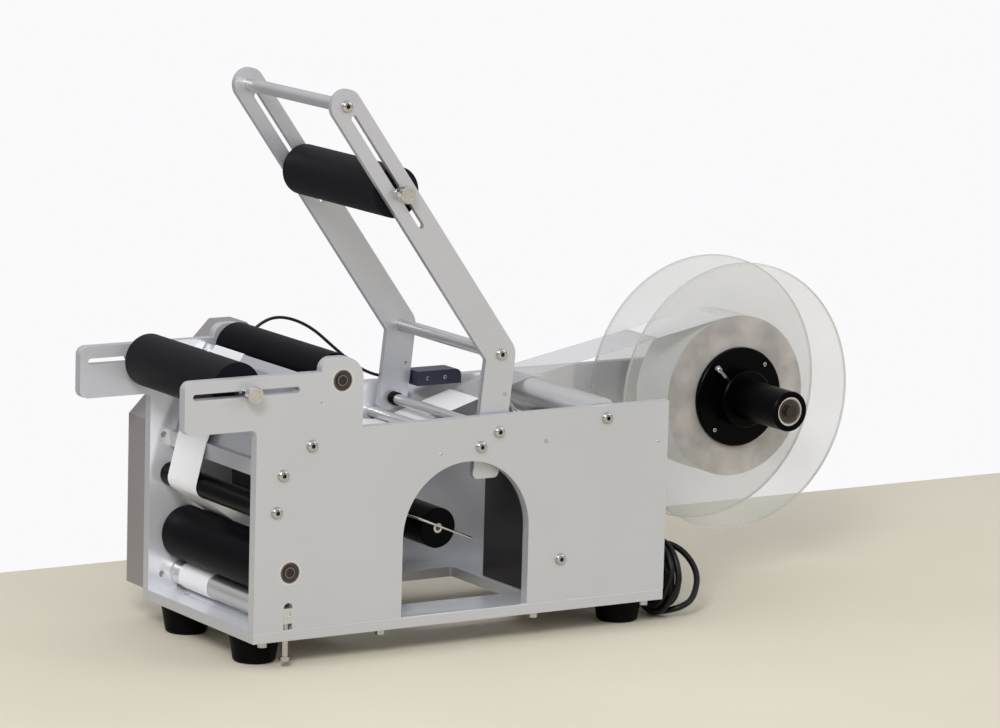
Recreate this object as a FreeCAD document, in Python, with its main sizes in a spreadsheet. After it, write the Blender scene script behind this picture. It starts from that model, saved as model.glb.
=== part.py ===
import FreeCAD, Part
import math
import os
import re

import Sketcher
from FreeCAD import Placement, Rotation, Vector

# Bench-top labelling machine for round bottles. Lengths are in millimetres.
# The document's frame: X runs from the operator's end towards the label reel, Y from the front side plate
# to the rear one, Z up. The origin is on the standing surface, in the middle of the base plate.
# Positions in the sheet are measured from the operator's end of the base plate (x), from the front
# plate's outer face (y) and from the base plate's top face (z); place() moves them into the frame.

DIMENSIONS = {
    # base plate, side plates and feet
    "base_length": 440,
    "overall_width": 211,
    "base_thick": 10,
    "plate_thick": 10,
    "plate_height": 180,
    "cutout_start": 131,
    "cutout_end": 311,
    "cutout_front": 48,
    "cutout_back": 170,
    "cutout_corner": 3,
    "foot_inset_x": 24,
    "foot_inset_y": 41,
    "foot_height": 25,
    "foot_top_radius": 23.5,
    "foot_bottom_radius": 19.5,
    "foot_recess_radius": 7,
    "foot_recess_depth": 17,
    "foot_edge": 2,
    # arm of each side plate, with the slot of the free bottle roller
    "arm_reach": 73,
    "arm_bottom": 185,
    "arm_top": 233,
    "arm_corner": 8,
    "arm_inner_corner": 5,
    "boss_radius": 21.5,
    "slot_z": 219,
    "slot_width": 5.6,
    "slot_start": -65,
    "slot_end": 43,
    # arch in the front plate
    "arch_x": 221,
    "arch_radius": 67.5,
    "arch_spring": 72,
    # reel carrier at the end of the rear plate
    "reel_x": 605,
    "reel_z": 151,
    "carrier_radius": 29,
    "carrier_start_z": 60,
    # rollers
    "drive_x": 87,
    "drive_z": 224,
    "drive_radius": 22.7,
    "drive_core_radius": 18.5,
    "pull_x": 36.5,
    "pull_z": 52.5,
    "pull_radius": 25.4,
    "pull_core_radius": 21,
    "roller_end_gap": 4.5,
    "journal_radius": 4,
    "shoulder_radius": 6,
    "shaft_rear_end": 240,
    "shaft_front_inset": 0.6,
    "idler_room": 1,
    "pinch_x": 35.3,
    "pinch_radius": 12,
    "nip_slack": 0.1,
    "pinch_slot_half": 4.5,
    "pinch_slot_height": 25,
    "pinch_journal_radius": 3,
    "pinch_block_below": 8,
    "pinch_block_above": 6,
    "pinch_block_gap": 0.05,
    "bottle_roller_x": -9,
    "bottle_roller_radius": 24.5,
    "bottle_roller_start": 22.7,
    "bottle_roller_room": 12,
    "sleeve_bore_radius": 4.05,
    "axle_radius": 4,
    "axle_neck_radius": 2.7,
    "knob_radius": 8,
    "knob_thick": 8,
    "knob_collar": 6,
    "knob_collar_radius": 5,
    "knob_edge": 0.8,
    "guide_x": 21.5,
    "guide_z": 108.5,
    "guide_radius": 11,
    "top_roller_x": 371.2,
    "top_roller_z": 168.6,
    "top_roller_radius": 17.5,
    # identical rods between the side plates
    "rod_radius": 5,
    "rod_flat_radius": 4.4,
    "rod_chamfer": 0.6,
    "lower_rod_x": 56.6,
    "lower_rod_z": 166.7,
    "stop_rod_x": 234.5,
    "stop_rod_z": 151.9,
    "pivot_x": 253.5,
    "pivot_z": 164.4,
    # ball bearings in the side plates
    "bearing_radius": 11,
    "bearing_width": 7,
    "bearing_ring": 2,
    "bearing_recess": 0.8,
    "running_gap": 0.03,
    "face_gap": 0.3,
    # peel plate
    "peel_x": 27.5,
    "peel_z": 141.8,
    "peel_bar_width": 14,
    "peel_bar_height": 14.5,
    "peel_edge_x": 58,
    "peel_edge_z": 228,
    "peel_blade_thick": 5,
    "peel_edge_thick": 1.2,
    "peel_bevel": 8.5,
    "peel_end_room": 2,
    # press arm
    "arm_bar_thick": 6,
    "arm_bar_gap": 2,
    "arm_play": 1,
    "arm_screw_grip": 8,
    "arm_bar_half": 15.5,
    "arm_tab_half": 13.5,
    "arm_tip_x": 92,
    "arm_tip_z": 469,
    "arm_bend_x": 261,
    "arm_bend_z": 234,
    "arm_tab_x": 247,
    "arm_tab_z": 119.6,
    "arm_tab_corner": 5,
    "arm_bend_corner": 20,
    "arm_tube_radius": 6,
    "arm_slot_top": 13.6,
    "arm_slot_bottom": 137.3,
    "press_roller_down": 99.8,
    "press_roller_radius": 23.6,
    "press_roller_margin": 3,
    "spring_pin_x": 266,
    "spring_pin_z": 197,
    "spring_pin_radius": 2,
    "spring_pin_past": 3,
    "spring_pin_stand_out": 0.5,
    "spring_anchor_x": 304.8,
    "spring_anchor_z": 152,
    "spring_y": 22,
    "spring_radius": 3.4,
    "spring_wire_radius": 0.6,
    "spring_eye_gap": 0.1,
    "spring_hook_room": 2,
    "spring_end_thick": 1,
    "collar_radius": 6.5,
    "collar_width": 7,
    # rewind shaft
    "rewind_x": 221,
    "rewind_z": 68,
    "rewind_radius": 19,
    "rewind_start": 50,
    "wound_radius": 23,
    "clip_radius": 1.25,
    "clip_bend": 8,
    "clip_tail_length": 4,
    "clip_tail_x": 24,
    "clip_tail_z": 9,
    "clip_corner_x": 23,
    "clip_corner_z": 11.5,
    "clip_tip_x": 36,
    "clip_tip_z": 12.5,
    "rewind_rear_room": 2,
    "turned_edge": 1,
    # label web
    "web_rear_room": 17,
    "web_width": 54,
    "web_thick": 0.4,
    "web_gap": 0.3,
    # label reel
    "roll_radius": 79,
    "core_inner_radius": 38.1,
    "core_thick": 4,
    "disc_radius": 131,
    "disc_thick": 3,
    "hub_radius": 48.6,
    "hub_thick": 5,
    "hub_collar_radius": 28,
    "hub_collar_length": 14,
    "spigot_radius": 37.7,
    "spigot_length": 14,
    "reel_tube_radius": 19.5,
    "reel_tube_start": 36,
    "reel_tube_room": 4,
    "reel_bearing_radius": 14,
    "reel_bearing_width": 8,
    "reel_shaft_radius": 6,
    "reel_shaft_stand_out": 2,
    "reel_shaft_shoulder": 4,
    "reel_shaft_room": 1,
    "reel_bearing_inset": 1,
    "reel_tube_lip": 1.5,
    "thumb_stem_radius": 1.6,
    "thumb_head_radius": 3,
    "thumb_head_length": 5,
    "thumb_reach": 46,
    "thumb_edge": 0.5,
    # label sensor
    "sensor_start": 273,
    "sensor_end": 321,
    "sensor_bottom": 176,
    "sensor_top": 190,
    "sensor_depth": 23,
    "sensor_cable_radius": 1.5,
    # motor, pulleys and belts
    "motor_x": 115,
    "motor_z": 103,
    "motor_size": 56.4,
    "motor_length": 76,
    "motor_corner": 6,
    "motor_pilot_radius": 19,
    "motor_pilot_height": 1.6,
    "motor_shaft_front": 0.5,
    "small_pulley_radius": 11.5,
    "large_pulley_radius": 12.94,
    "rewind_pulley_radius": 9.34,
    "pulley_rim": 1.6,
    "pulley_flange": 1,
    "belt_thick": 1.8,
    "belt_width": 6,
    "belt_lane": 8.6,
    "pulley_start": 3.4,
    "belt_gap": 0.3,
    # rear cover
    "cover_depth": 33,
    "cover_sheet": 2,
    "cover_end_height": 159.5,
    "cover_top": 243.5,
    "cover_top_start": 83,
    "cover_top_end": 105,
    "cover_length": 265,
    "cover_low_end": 83.5,
    "pillar_radius": 5,
    "pillar_inset": 14,
    "pillar_past_drive": 15,
    "pillar_above_plate": 10,
    # control box, switch and gland
    "box_start": 316,
    "box_end": 436,
    "box_width": 115,
    "box_height": 148,
    "box_screw_inset": 8,
    "box_screw_z": 39.2,
    "box_corner": 4,
    "switch_z": 62,
    "switch_y": 60,
    "switch_width": 21,
    "switch_height": 15,
    "switch_depth": 12,
    "switch_room": 2,
    "switch_edge": 0.4,
    "switch_tail_half": 4.5,
    "switch_high": 2.6,
    "switch_middle": 1.4,
    "switch_low": 1.2,
    "gland_y": 88,
    "gland_z": 27,
    "gland_radius": 8,
    "gland_length": 11,
    "gland_collar_length": 4.4,
    "gland_neck_radius": 6,
    "gland_wall": 1,
    # mains lead
    "cord_radius": 3,
    "hank_x": 458,
    "hank_y": 40,
    "hank_radius": 29,
    "hank_section": 9.5,
    "plug_length": 38,
    "plug_radius": 11,
    "plug_past_hank": 12,
    "plug_aside": 18,
    "plug_neck_length": 12,
    "plug_neck_wall": 1.2,
    "plug_pin_radius": 2,
    "plug_pin_length": 18,
    "plug_pin_spread": 4.8,
    # screws
    "button_head_radius": 5.6,
    "button_head_height": 3.3,
    "screw_radius": 3,
    "screw_length": 16,
    "socket_radius": 2,
    "socket_depth": 2,
    "cap_head_radius": 4.5,
    "cap_head_height": 4,
    "plate_screw_depth": 10,
    "screw_end_room": 0.5,
    "plate_screw_start": 12,
    "plate_screw_end": 18.9,
    "cutout_screw_start": 3.4,
    "cutout_screw_end": 12.6,
    "pinch_bolt_drop": 15,
}

NAME = re.compile(r"[a-z][a-z_0-9]+(?![a-z_0-9(])")


def number(text):
    """The number that an expression over the sheet's names comes to."""
    plain = NAME.sub(lambda word: repr(float(DIMENSIONS[word.group(0)])), str(text))
    return FreeCAD.Units.Quantity(plain).Value


def linked(text):
    """The same expression, reading the sheet's cells."""
    return NAME.sub(lambda word: "dims." + word.group(0), str(text))


os.makedirs("parts", exist_ok=True)
doc = FreeCAD.newDocument("bottle_labelling_machine")
sheet = doc.addObject("Spreadsheet::Sheet", "dims")
for row, (alias, size) in enumerate(DIMENSIONS.items(), start=1):
    sheet.set(f"A{row}", alias)
    sheet.set(f"B{row}", str(size))
    sheet.setAlias(f"B{row}", alias)
doc.recompute()

pieces = {}


# ---------------------------------------------------------------- helpers

def place(item, x="0", y="0", z="0", turn=None):
    """Put an object at a position measured from the base plate's corner."""
    spots = {
        "x": f"({x}) - base_length / 2",
        "y": f"({y}) - overall_width / 2",
        "z": f"({z}) + base_thick + foot_height",
    }
    base = Vector(*[number(spot) for spot in spots.values()])
    item.Placement = Placement(base, turn or Rotation())
    for axis, spot in spots.items():
        item.setExpression(f"Placement.Base.{axis}", linked(spot))


def keep(name, item):
    """Name a finished sub-part."""
    item.Label = name
    pieces[name] = item
    return item


def start_body(name, x="0", y="0", z="0", turn=None):
    body = doc.addObject("PartDesign::Body", name)
    place(body, x, y, z, turn)
    return body


def sketch_on(body, role):
    """A sketch on one of the body's own origin planes."""
    plane = next(item for item in body.Origin.OriginFeatures if item.Role == role)
    sketch = body.newObject("Sketcher::SketchObject", "sketch")
    sketch.AttachmentSupport = [(plane, "")]
    sketch.MapMode = "FlatFace"
    return sketch


def pin_point(sketch, geometry, point, x, y):
    """Tie one point of a sketch to two expressions."""
    for kind, text in (("DistanceX", x), ("DistanceY", y)):
        index = sketch.addConstraint(Sketcher.Constraint(kind, -1, 1, geometry, point, number(text)))
        sketch.setExpression(f"Constraints[{index}]", linked(text))


def size_radius(sketch, geometry, text):
    index = sketch.addConstraint(Sketcher.Constraint("Radius", geometry, number(text)))
    sketch.setExpression(f"Constraints[{index}]", linked(text))


def add_outline(sketch, corners):
    """A closed loop of straight lines with every corner tied to the sheet."""
    spots = [Vector(number(x), number(y), 0) for x, y in corners]
    first = sketch.GeometryCount
    count = len(corners)
    for i in range(count):
        sketch.addGeometry(Part.LineSegment(spots[i], spots[(i + 1) % count]))
    for i in range(count):
        following = first + (i + 1) % count
        sketch.addConstraint(Sketcher.Constraint("Coincident", first + i, 2, following, 1))
    for i, (x, y) in enumerate(corners):
        pin_point(sketch, first + i, 1, x, y)


def add_circle(sketch, x, y, radius):
    centre = Vector(number(x), number(y), 0)
    index = sketch.addGeometry(Part.Circle(centre, Vector(0, 0, 1), number(radius)))
    pin_point(sketch, index, 3, x, y)
    size_radius(sketch, index, radius)


def add_slot(sketch, start, end, radius):
    """A slot with round ends centred on two points."""
    a = Vector(number(start[0]), number(start[1]), 0)
    b = Vector(number(end[0]), number(end[1]), 0)
    half = number(radius)
    along = (b - a).normalize()
    side = Vector(-along.y, along.x, 0) * half
    far = Part.Arc(b - side, b + along * half, b + side)
    near = Part.Arc(a + side, a - along * half, a - side)
    loop = [Part.LineSegment(a - side, b - side), far, Part.LineSegment(b + side, a + side), near]
    first = sketch.GeometryCount
    for edge in loop:
        sketch.addGeometry(edge)
    for i in range(len(loop)):
        following = first + (i + 1) % len(loop)
        sketch.addConstraint(Sketcher.Constraint("Tangent", first + i, 2, following, 1))
    pin_point(sketch, first + 1, 3, *end)
    pin_point(sketch, first + 3, 3, *start)
    size_radius(sketch, first + 1, radius)


def pad(body, sketch, length, reverse=True):
    """Thicken a sketch; on the XZ plane the reversed side is +Y."""
    feature = body.newObject("PartDesign::Pad", "pad")
    feature.Profile = sketch
    feature.Length = number(length)
    feature.setExpression("Length", linked(length))
    feature.Reversed = reverse
    body.Tip = feature
    return feature


def pocket(body, sketch, depth, reverse):
    """Cut a sketch into the body; stops if the cut removes nothing."""
    doc.recompute()
    before = body.Shape.Volume
    feature = body.newObject("PartDesign::Pocket", "pocket")
    feature.Profile = sketch
    feature.Length = number(depth)
    feature.setExpression("Length", linked(depth))
    feature.Reversed = reverse
    body.Tip = feature
    doc.recompute()
    if body.Shape.Volume >= before - 0.01:
        raise RuntimeError(f"{body.Name}: a pocket cuts nothing")
    return feature


def round_corners(body, sketch, rounds, turn_axis="y"):
    """Round upright edges over the sketch's corners; rounds lists (corner number, radius)."""
    for corner, radius in rounds:
        doc.recompute()
        spot = sketch.Geometry[corner].StartPoint
        names = []
        for i, edge in enumerate(body.Tip.Shape.Edges, start=1):
            ends = [vertex.Point for vertex in edge.Vertexes]
            if len(ends) != 2 or not isinstance(edge.Curve, Part.Line):
                continue
            if turn_axis == "y":
                near = all(math.hypot(p.x - spot.x, p.z - spot.y) < 0.001 for p in ends)
            else:
                near = all(math.hypot(p.x - spot.x, p.y - spot.y) < 0.001 for p in ends)
            if near:
                names.append(f"Edge{i}")
        sharp = body.Tip
        fillet = body.newObject("PartDesign::Fillet", "fillet")
        fillet.Base = (sharp, names)
        fillet.Radius = number(radius)
        fillet.setExpression("Radius", linked(radius))
        body.Tip = fillet
    doc.recompute()


def turned(name, profile, x="0", y="0", z="0", turn=None):
    """A piece turned about a line along its own Y, from (radius, y) corners."""
    body = start_body(name, x, y, z, turn)
    sketch = sketch_on(body, "XY_Plane")
    add_outline(sketch, profile)
    feature = body.newObject("PartDesign::Revolution", "turned")
    feature.Profile = sketch
    feature.ReferenceAxis = (sketch, ["V_Axis"])
    feature.Angle = 360
    body.Tip = feature
    return body


def group(name, copies):
    """Several solids in one sub-part."""
    compound = doc.addObject("Part::Compound", name)
    compound.Links = copies
    return keep(name, compound)


def copy_of(master, x, y, z, turn=None):
    """A linked copy of a finished body."""
    link = doc.addObject("App::Link", master.Name + "_copy")
    link.LinkedObject = master
    place(link, x, y, z, turn)
    return link


def ring(outer, inner, start, end):
    """The (radius, y) corners of a plain sleeve."""
    return [(inner, start), (outer, start), (outer, end), (inner, end)]


def made(name, shape, y="0"):
    """A sub-part whose shape is worked out from the sheet's numbers."""
    feature = doc.addObject("Part::Feature", name)
    feature.Shape = shape
    place(feature, y=y)
    return keep(name, feature)


REAR_INNER = "overall_width - plate_thick"
WEB_END = f"{REAR_INNER} - web_rear_room"
WEB_START = f"{WEB_END} - web_width"
INSIDE = "overall_width - 2 * plate_thick"
FACE_BACK = Rotation(Vector(0, 0, 1), 180)


# ---------------------------------------------------------------- frame

def make_base_plate():
    body = start_body("base_plate", z="-base_thick")
    sketch = sketch_on(body, "XY_Plane")
    add_outline(sketch, [
        ("0", "0"), ("base_length", "0"), ("base_length", "overall_width"), ("0", "overall_width")])
    pad(body, sketch, "base_thick", reverse=False)
    opening = sketch_on(body, "XY_Plane")
    add_outline(opening, [
        ("cutout_start", "cutout_front"), ("cutout_end", "cutout_front"),
        ("cutout_end", "cutout_back"), ("cutout_start", "cutout_back")])
    pocket(body, opening, "base_thick", reverse=True)
    round_corners(body, opening, [(i, "cutout_corner") for i in range(4)], turn_axis="z")
    bolts = sketch_on(body, "XY_Plane")
    for x in PLATE_SCREWS:
        for y in ("plate_thick / 2", "overall_width - plate_thick / 2"):
            add_circle(bolts, x, y, "screw_radius")
    for x, y in FEET:
        add_circle(bolts, x, y, "screw_radius")
    for y in ("plate_thick / 2", "overall_width - plate_thick / 2"):
        add_circle(bolts, "pinch_x", y, "screw_radius")
    pocket(body, bolts, "base_thick", reverse=True)
    keep("base_plate", body)


PLATE_SCREWS = ["plate_screw_start", "cutout_start + cutout_screw_start",
                "cutout_end - cutout_screw_end", "base_length - plate_screw_end"]
FEET = [(x, y)
        for x in ("foot_inset_x", "base_length - foot_inset_x")
        for y in ("foot_inset_y", "overall_width - foot_inset_y")]
PINCH_Z = ("(pull_z - sqrt((pull_radius + pinch_radius + web_thick + 2 * web_gap + nip_slack)^2"
           " - (pull_x - pinch_x)^2))")

# where the rods end on the side plates
RODS = [
    ("lower_rod_x", "lower_rod_z"),
    ("stop_rod_x", "stop_rod_z"),
    ("pivot_x", "pivot_z"),
    ("guide_x", "guide_z"),
    ("top_roller_x", "top_roller_z"),
]


def side_plate_outline(rear):
    """Corners of a side plate, from the lower corner at the operator's end, and its rounded ones."""
    corners = [
        ("0", "0"),
        ("base_length", "0"),
        ("base_length", "plate_height"),
        ("drive_x + boss_radius", "plate_height"),
        ("drive_x + boss_radius", "drive_z + boss_radius"),
        ("drive_x - boss_radius", "drive_z + boss_radius"),
        ("drive_x - boss_radius", "arm_top"),
        ("-arm_reach", "arm_top"),
        ("-arm_reach", "arm_bottom"),
        ("0", "arm_bottom"),
    ]
    rounds = [(4, "boss_radius * 0.98"), (5, "(drive_z + boss_radius - arm_top) * 0.9"),
              (7, "arm_corner"), (8, "arm_corner"), (9, "arm_inner_corner")]
    if rear:
        corners[1:3] = [
            ("base_length", "0"),
            ("base_length", "carrier_start_z"),
            ("reel_x + carrier_radius", "reel_z - carrier_radius"),
            ("reel_x + carrier_radius", "plate_height"),
        ]
        rounds = [(corner + 2, radius) for corner, radius in rounds]
        rounds += [(3, "carrier_radius * 0.95"), (4, "carrier_radius * 0.95")]
    return corners, rounds


def make_side_plate(name, rear):
    body = start_body(name, y=REAR_INNER if rear else "0")
    sketch = sketch_on(body, "XZ_Plane")
    corners, rounds = side_plate_outline(rear)
    add_outline(sketch, corners)
    pad(body, sketch, "plate_thick")
    round_corners(body, sketch, rounds)
    holes = sketch_on(body, "XZ_Plane")
    for x, z in RODS:
        add_circle(holes, x, z, "screw_radius")
    add_circle(holes, "peel_x", "peel_z", "screw_radius")
    add_slot(holes, ("slot_start + slot_width / 2", "slot_z"), ("slot_end - slot_width / 2", "slot_z"),
             "slot_width / 2")
    add_circle(holes, "drive_x", "drive_z", "bearing_radius")
    add_circle(holes, "pull_x", "pull_z", "bearing_radius")
    if rear:
        add_circle(holes, "rewind_x", "rewind_z", "bearing_radius")
        add_circle(holes, "reel_x", "reel_z", "screw_radius")
        add_circle(holes, "motor_x", "motor_z", "motor_pilot_radius + running_gap")
        for x, z in PILLARS:
            add_circle(holes, x, z, "screw_radius")
    else:
        add_circle(holes, "spring_anchor_x", "spring_anchor_z", "spring_pin_radius")
        add_circle(holes, "box_start + box_screw_inset", "box_screw_z", "screw_radius")
    pocket(body, holes, "plate_thick", reverse=False)
    low = sketch_on(body, "XZ_Plane")
    add_outline(low, [
        ("pinch_x - pinch_slot_half", "-1"), ("pinch_x + pinch_slot_half", "-1"),
        ("pinch_x + pinch_slot_half", "pinch_slot_height"), ("pinch_x - pinch_slot_half", "pinch_slot_height")])
    pocket(body, low, "plate_thick", reverse=False)
    round_corners(body, low, [(2, "pinch_slot_half * 0.98"), (3, "pinch_slot_half * 0.98")])
    under = sketch_on(body, "XY_Plane")
    for x in PLATE_SCREWS:
        add_circle(under, x, "plate_thick / 2", "screw_radius")
    pocket(body, under, "plate_screw_depth", reverse=True)
    if not rear:
        arch = sketch_on(body, "XZ_Plane")
        add_outline(arch, [
            ("arch_x - arch_radius", "-1"), ("arch_x + arch_radius", "-1"),
            ("arch_x + arch_radius", "arch_spring + arch_radius"),
            ("arch_x - arch_radius", "arch_spring + arch_radius")])
        pocket(body, arch, "plate_thick", reverse=False)
        round_corners(body, arch, [(2, "arch_radius * 0.999"), (3, "arch_radius * 0.999")])
    keep(name, body)


def make_feet():
    profile = [
        ("foot_recess_radius", "0"),
        ("foot_bottom_radius - foot_edge", "0"),
        ("foot_bottom_radius", "foot_edge"),
        ("foot_top_radius", "foot_height"),
        ("screw_radius", "foot_height"),
        ("screw_radius", "foot_recess_depth"),
        ("foot_recess_radius", "foot_recess_depth"),
    ]
    upright = Rotation(Vector(1, 0, 0), 90)
    master = turned("foot", profile, turn=upright)
    group("rubber_feet", [copy_of(master, x, y, "-base_thick - foot_height", upright) for x, y in FEET])


def cap_screw(name, length):
    """Cap screw pointing up its own Y, with the head's lower face at y = 0 and a hexagon socket."""
    body = turned(name, [
        ("0", "0"), ("cap_head_radius", "0"), ("cap_head_radius", "cap_head_height"),
        ("screw_radius", "cap_head_height"), ("screw_radius", f"cap_head_height + {length}"),
        ("0", f"cap_head_height + {length}")])
    return body


def make_base_screws():
    upright = Rotation(Vector(1, 0, 0), 90)
    plate_screw = cap_screw("plate_screw", "base_thick + plate_screw_depth")
    foot_screw = cap_screw("foot_screw", "foot_height - foot_recess_depth + base_thick")
    pinch_bolt = cap_screw("pinch_bolt", f"pinch_bolt_drop + base_thick + {PINCH_Z} - pinch_block_below")
    copies = []
    for y in ("plate_thick / 2", "overall_width - plate_thick / 2"):
        for x in PLATE_SCREWS:
            copies.append(copy_of(plate_screw, x, y, "-base_thick - cap_head_height", upright))
        copies.append(copy_of(pinch_bolt, "pinch_x", y,
                              "-base_thick - pinch_bolt_drop - cap_head_height", upright))
    for x, y in FEET:
        copies.append(copy_of(foot_screw, x, y,
                              "-base_thick - foot_height + foot_recess_depth - cap_head_height", upright))
    group("base_screws", copies)


def make_cover():
    """Folded cover over the belts, open towards the rear plate, with spacer tubes welded inside."""
    body = start_body("rear_cover", y="overall_width")
    sketch = sketch_on(body, "XZ_Plane")
    add_outline(sketch, [
        ("0", "0"), ("cover_length", "0"), ("cover_length", "cover_low_end"), ("cover_top_end", "cover_top"),
        ("cover_top_start", "cover_top"), ("0", "cover_end_height")])
    block = pad(body, sketch, "cover_depth")
    doc.recompute()
    open_side = [f"Face{i}" for i, face in enumerate(block.Shape.Faces, start=1)
                 if face.BoundBox.YLength < 0.001 and face.BoundBox.YMax < 0.001]
    shell = body.newObject("PartDesign::Thickness", "shell")
    shell.Base = (block, open_side)
    shell.Value = number("cover_sheet")
    shell.setExpression("Value", "dims.cover_sheet")
    shell.Reversed = True
    shell.Join = 1
    body.Tip = shell
    doc.recompute()
    pillars = sketch_on(body, "XZ_Plane")
    for x, z in PILLARS:
        add_circle(pillars, x, z, "pillar_radius")
    pad(body, pillars, "cover_depth - cover_sheet / 2")
    holes = sketch_on(body, "XZ_Plane")
    for x, z in PILLARS:
        add_circle(holes, x, z, "screw_radius")
    add_circle(holes, "drive_x", "drive_z", "screw_radius")
    pocket(body, holes, "cover_depth", reverse=False)
    keep("rear_cover", body)


PILLARS = [
    ("pillar_inset", "pillar_inset"),
    ("pillar_inset", "cover_end_height - pillar_inset"),
    ("cover_length - pillar_inset", "pillar_inset"),
    ("drive_x + pillar_past_drive", "plate_height + pillar_above_plate"),
]


def button_screw(name, length):
    """Button-head screw with a socket; the head's lower face is at y = 0 and the shank points to +Y."""
    return turned(name, [
        ("0", "-button_head_height + socket_depth"),
        ("socket_radius", "-button_head_height + socket_depth"),
        ("socket_radius", "-button_head_height"),
        ("button_head_radius * 0.55", "-button_head_height"),
        ("button_head_radius * 0.9", "-button_head_height * 0.5"),
        ("button_head_radius", "0"),
        ("screw_radius", "0"),
        ("screw_radius", length),
        ("0", length),
    ])


def make_button_screws():
    screw = button_screw("button_screw", "screw_length")
    cover_screw = button_screw("cover_screw", "cover_depth + screw_length / 2")
    ends = RODS + [("peel_x", "peel_z")]
    copies = [copy_of(screw, x, "0", z) for x, z in ends + [("box_start + box_screw_inset", "box_screw_z")]]
    copies += [copy_of(screw, x, "overall_width", z, FACE_BACK)
               for x, z in ends + [("reel_x", "reel_z")]]
    copies += [copy_of(cover_screw, x, "overall_width + cover_depth", z, FACE_BACK) for x, z in PILLARS]
    group("button_screws", copies)


def make_cross_rods():
    bore = "screw_length - plate_thick + screw_end_room"
    rod = turned("cross_rod", [
        ("0", bore),
        ("screw_radius", bore),
        ("screw_radius", "0"),
        ("rod_flat_radius", "0"),
        ("rod_radius", "rod_chamfer"),
        ("rod_radius", f"{INSIDE} - rod_chamfer"),
        ("rod_flat_radius", INSIDE),
        ("screw_radius", INSIDE),
        ("screw_radius", f"{INSIDE} - ({bore})"),
        ("0", f"{INSIDE} - ({bore})"),
    ])
    group("cross_rods", [copy_of(rod, x, "plate_thick", z) for x, z in RODS])


def make_bearings():
    inner = "journal_radius + running_gap"
    bearing = turned("small_bearing", bearing_profile(inner, "bearing_radius", "bearing_width"))
    axes = [("drive_x", "drive_z"), ("pull_x", "pull_z")]
    copies = [copy_of(bearing, x, "0", z) for x, z in axes]
    copies += [copy_of(bearing, x, "overall_width - bearing_width", z)
               for x, z in axes + [("rewind_x", "rewind_z")]]
    group("ball_bearings", copies)


def bearing_profile(inner, outer, width):
    """Both rings and the recessed seals between them."""
    low = f"{inner} + bearing_ring"
    high = f"{outer} - bearing_ring"
    return [
        (inner, "0"), (low, "0"), (low, "bearing_recess"), (high, "bearing_recess"), (high, "0"), (outer, "0"),
        (outer, width), (high, width), (high, f"{width} - bearing_recess"),
        (low, f"{width} - bearing_recess"), (low, width), (inner, width)]


# ---------------------------------------------------------------- driven rollers, belts and motor

ROLLER_START = "plate_thick + roller_end_gap"
ROLLER_END = "overall_width - plate_thick - roller_end_gap"


def make_roller_shaft(name, core, x, z):
    """One turned piece: journals for the bearings and the core under the rubber."""
    keep(name, turned(name, [
        ("0", "shaft_front_inset"),
        ("journal_radius", "shaft_front_inset"),
        ("journal_radius", "bearing_width + face_gap"),
        ("shoulder_radius", "bearing_width + face_gap"),
        ("shoulder_radius", ROLLER_START),
        (core, ROLLER_START),
        (core, ROLLER_END),
        ("shoulder_radius", ROLLER_END),
        ("shoulder_radius", "overall_width - bearing_width - face_gap"),
        ("journal_radius", "overall_width - bearing_width - face_gap"),
        ("journal_radius", "shaft_rear_end"),
        ("0", "shaft_rear_end"),
    ], x=x, z=z))


def make_rollers():
    make_roller_shaft("drive_shaft", "drive_core_radius", "drive_x", "drive_z")
    sleeve = ring("drive_radius", "drive_core_radius", ROLLER_START, ROLLER_END)
    keep("drive_roller_sleeve", turned("drive_roller_sleeve", sleeve, x="drive_x", z="drive_z"))
    make_roller_shaft("pull_shaft", "pull_core_radius", "pull_x", "pull_z")
    sleeve = ring("pull_radius", "pull_core_radius", ROLLER_START, ROLLER_END)
    keep("pull_roller_sleeve", turned("pull_roller_sleeve", sleeve, x="pull_x", z="pull_z"))
    pinch_start = "plate_thick + idler_room"
    pinch_end = "overall_width - plate_thick - idler_room"
    keep("pinch_roller", turned("pinch_roller", [
        ("0", "idler_room"), ("pinch_journal_radius", "idler_room"),
        ("pinch_journal_radius", pinch_start), ("pinch_radius", pinch_start),
        ("pinch_radius", pinch_end), ("pinch_journal_radius", pinch_end),
        ("pinch_journal_radius", "overall_width - idler_room"), ("0", "overall_width - idler_room"),
    ], x="pinch_x", z=PINCH_Z))
    for name, x, z, radius in (
            ("guide_roller", "guide_x", "guide_z", "guide_radius"),
            ("top_web_roller", "top_roller_x", "top_roller_z", "top_roller_radius")):
        sleeve = ring(radius, "rod_radius + running_gap", "plate_thick + idler_room", f"{REAR_INNER} - idler_room")
        keep(name, turned(name, sleeve, x=x, z=z))


def make_pinch_blocks():
    """A block in each plate's slot, with the bore for the roller's journal."""
    blocks = []
    for y in ("0", REAR_INNER):
        body = start_body("pinch_block", "pinch_x", y, PINCH_Z)
        sketch = sketch_on(body, "XZ_Plane")
        half = "pinch_slot_half - pinch_block_gap"
        add_outline(sketch, [
            (f"-({half})", "-pinch_block_below"), (half, "-pinch_block_below"),
            (half, "pinch_block_above"), (f"-({half})", "pinch_block_above")])
        add_circle(sketch, "0", "0", "pinch_journal_radius + running_gap")
        pad(body, sketch, "plate_thick")
        blocks.append(body)
    group("pinch_blocks", blocks)


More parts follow.
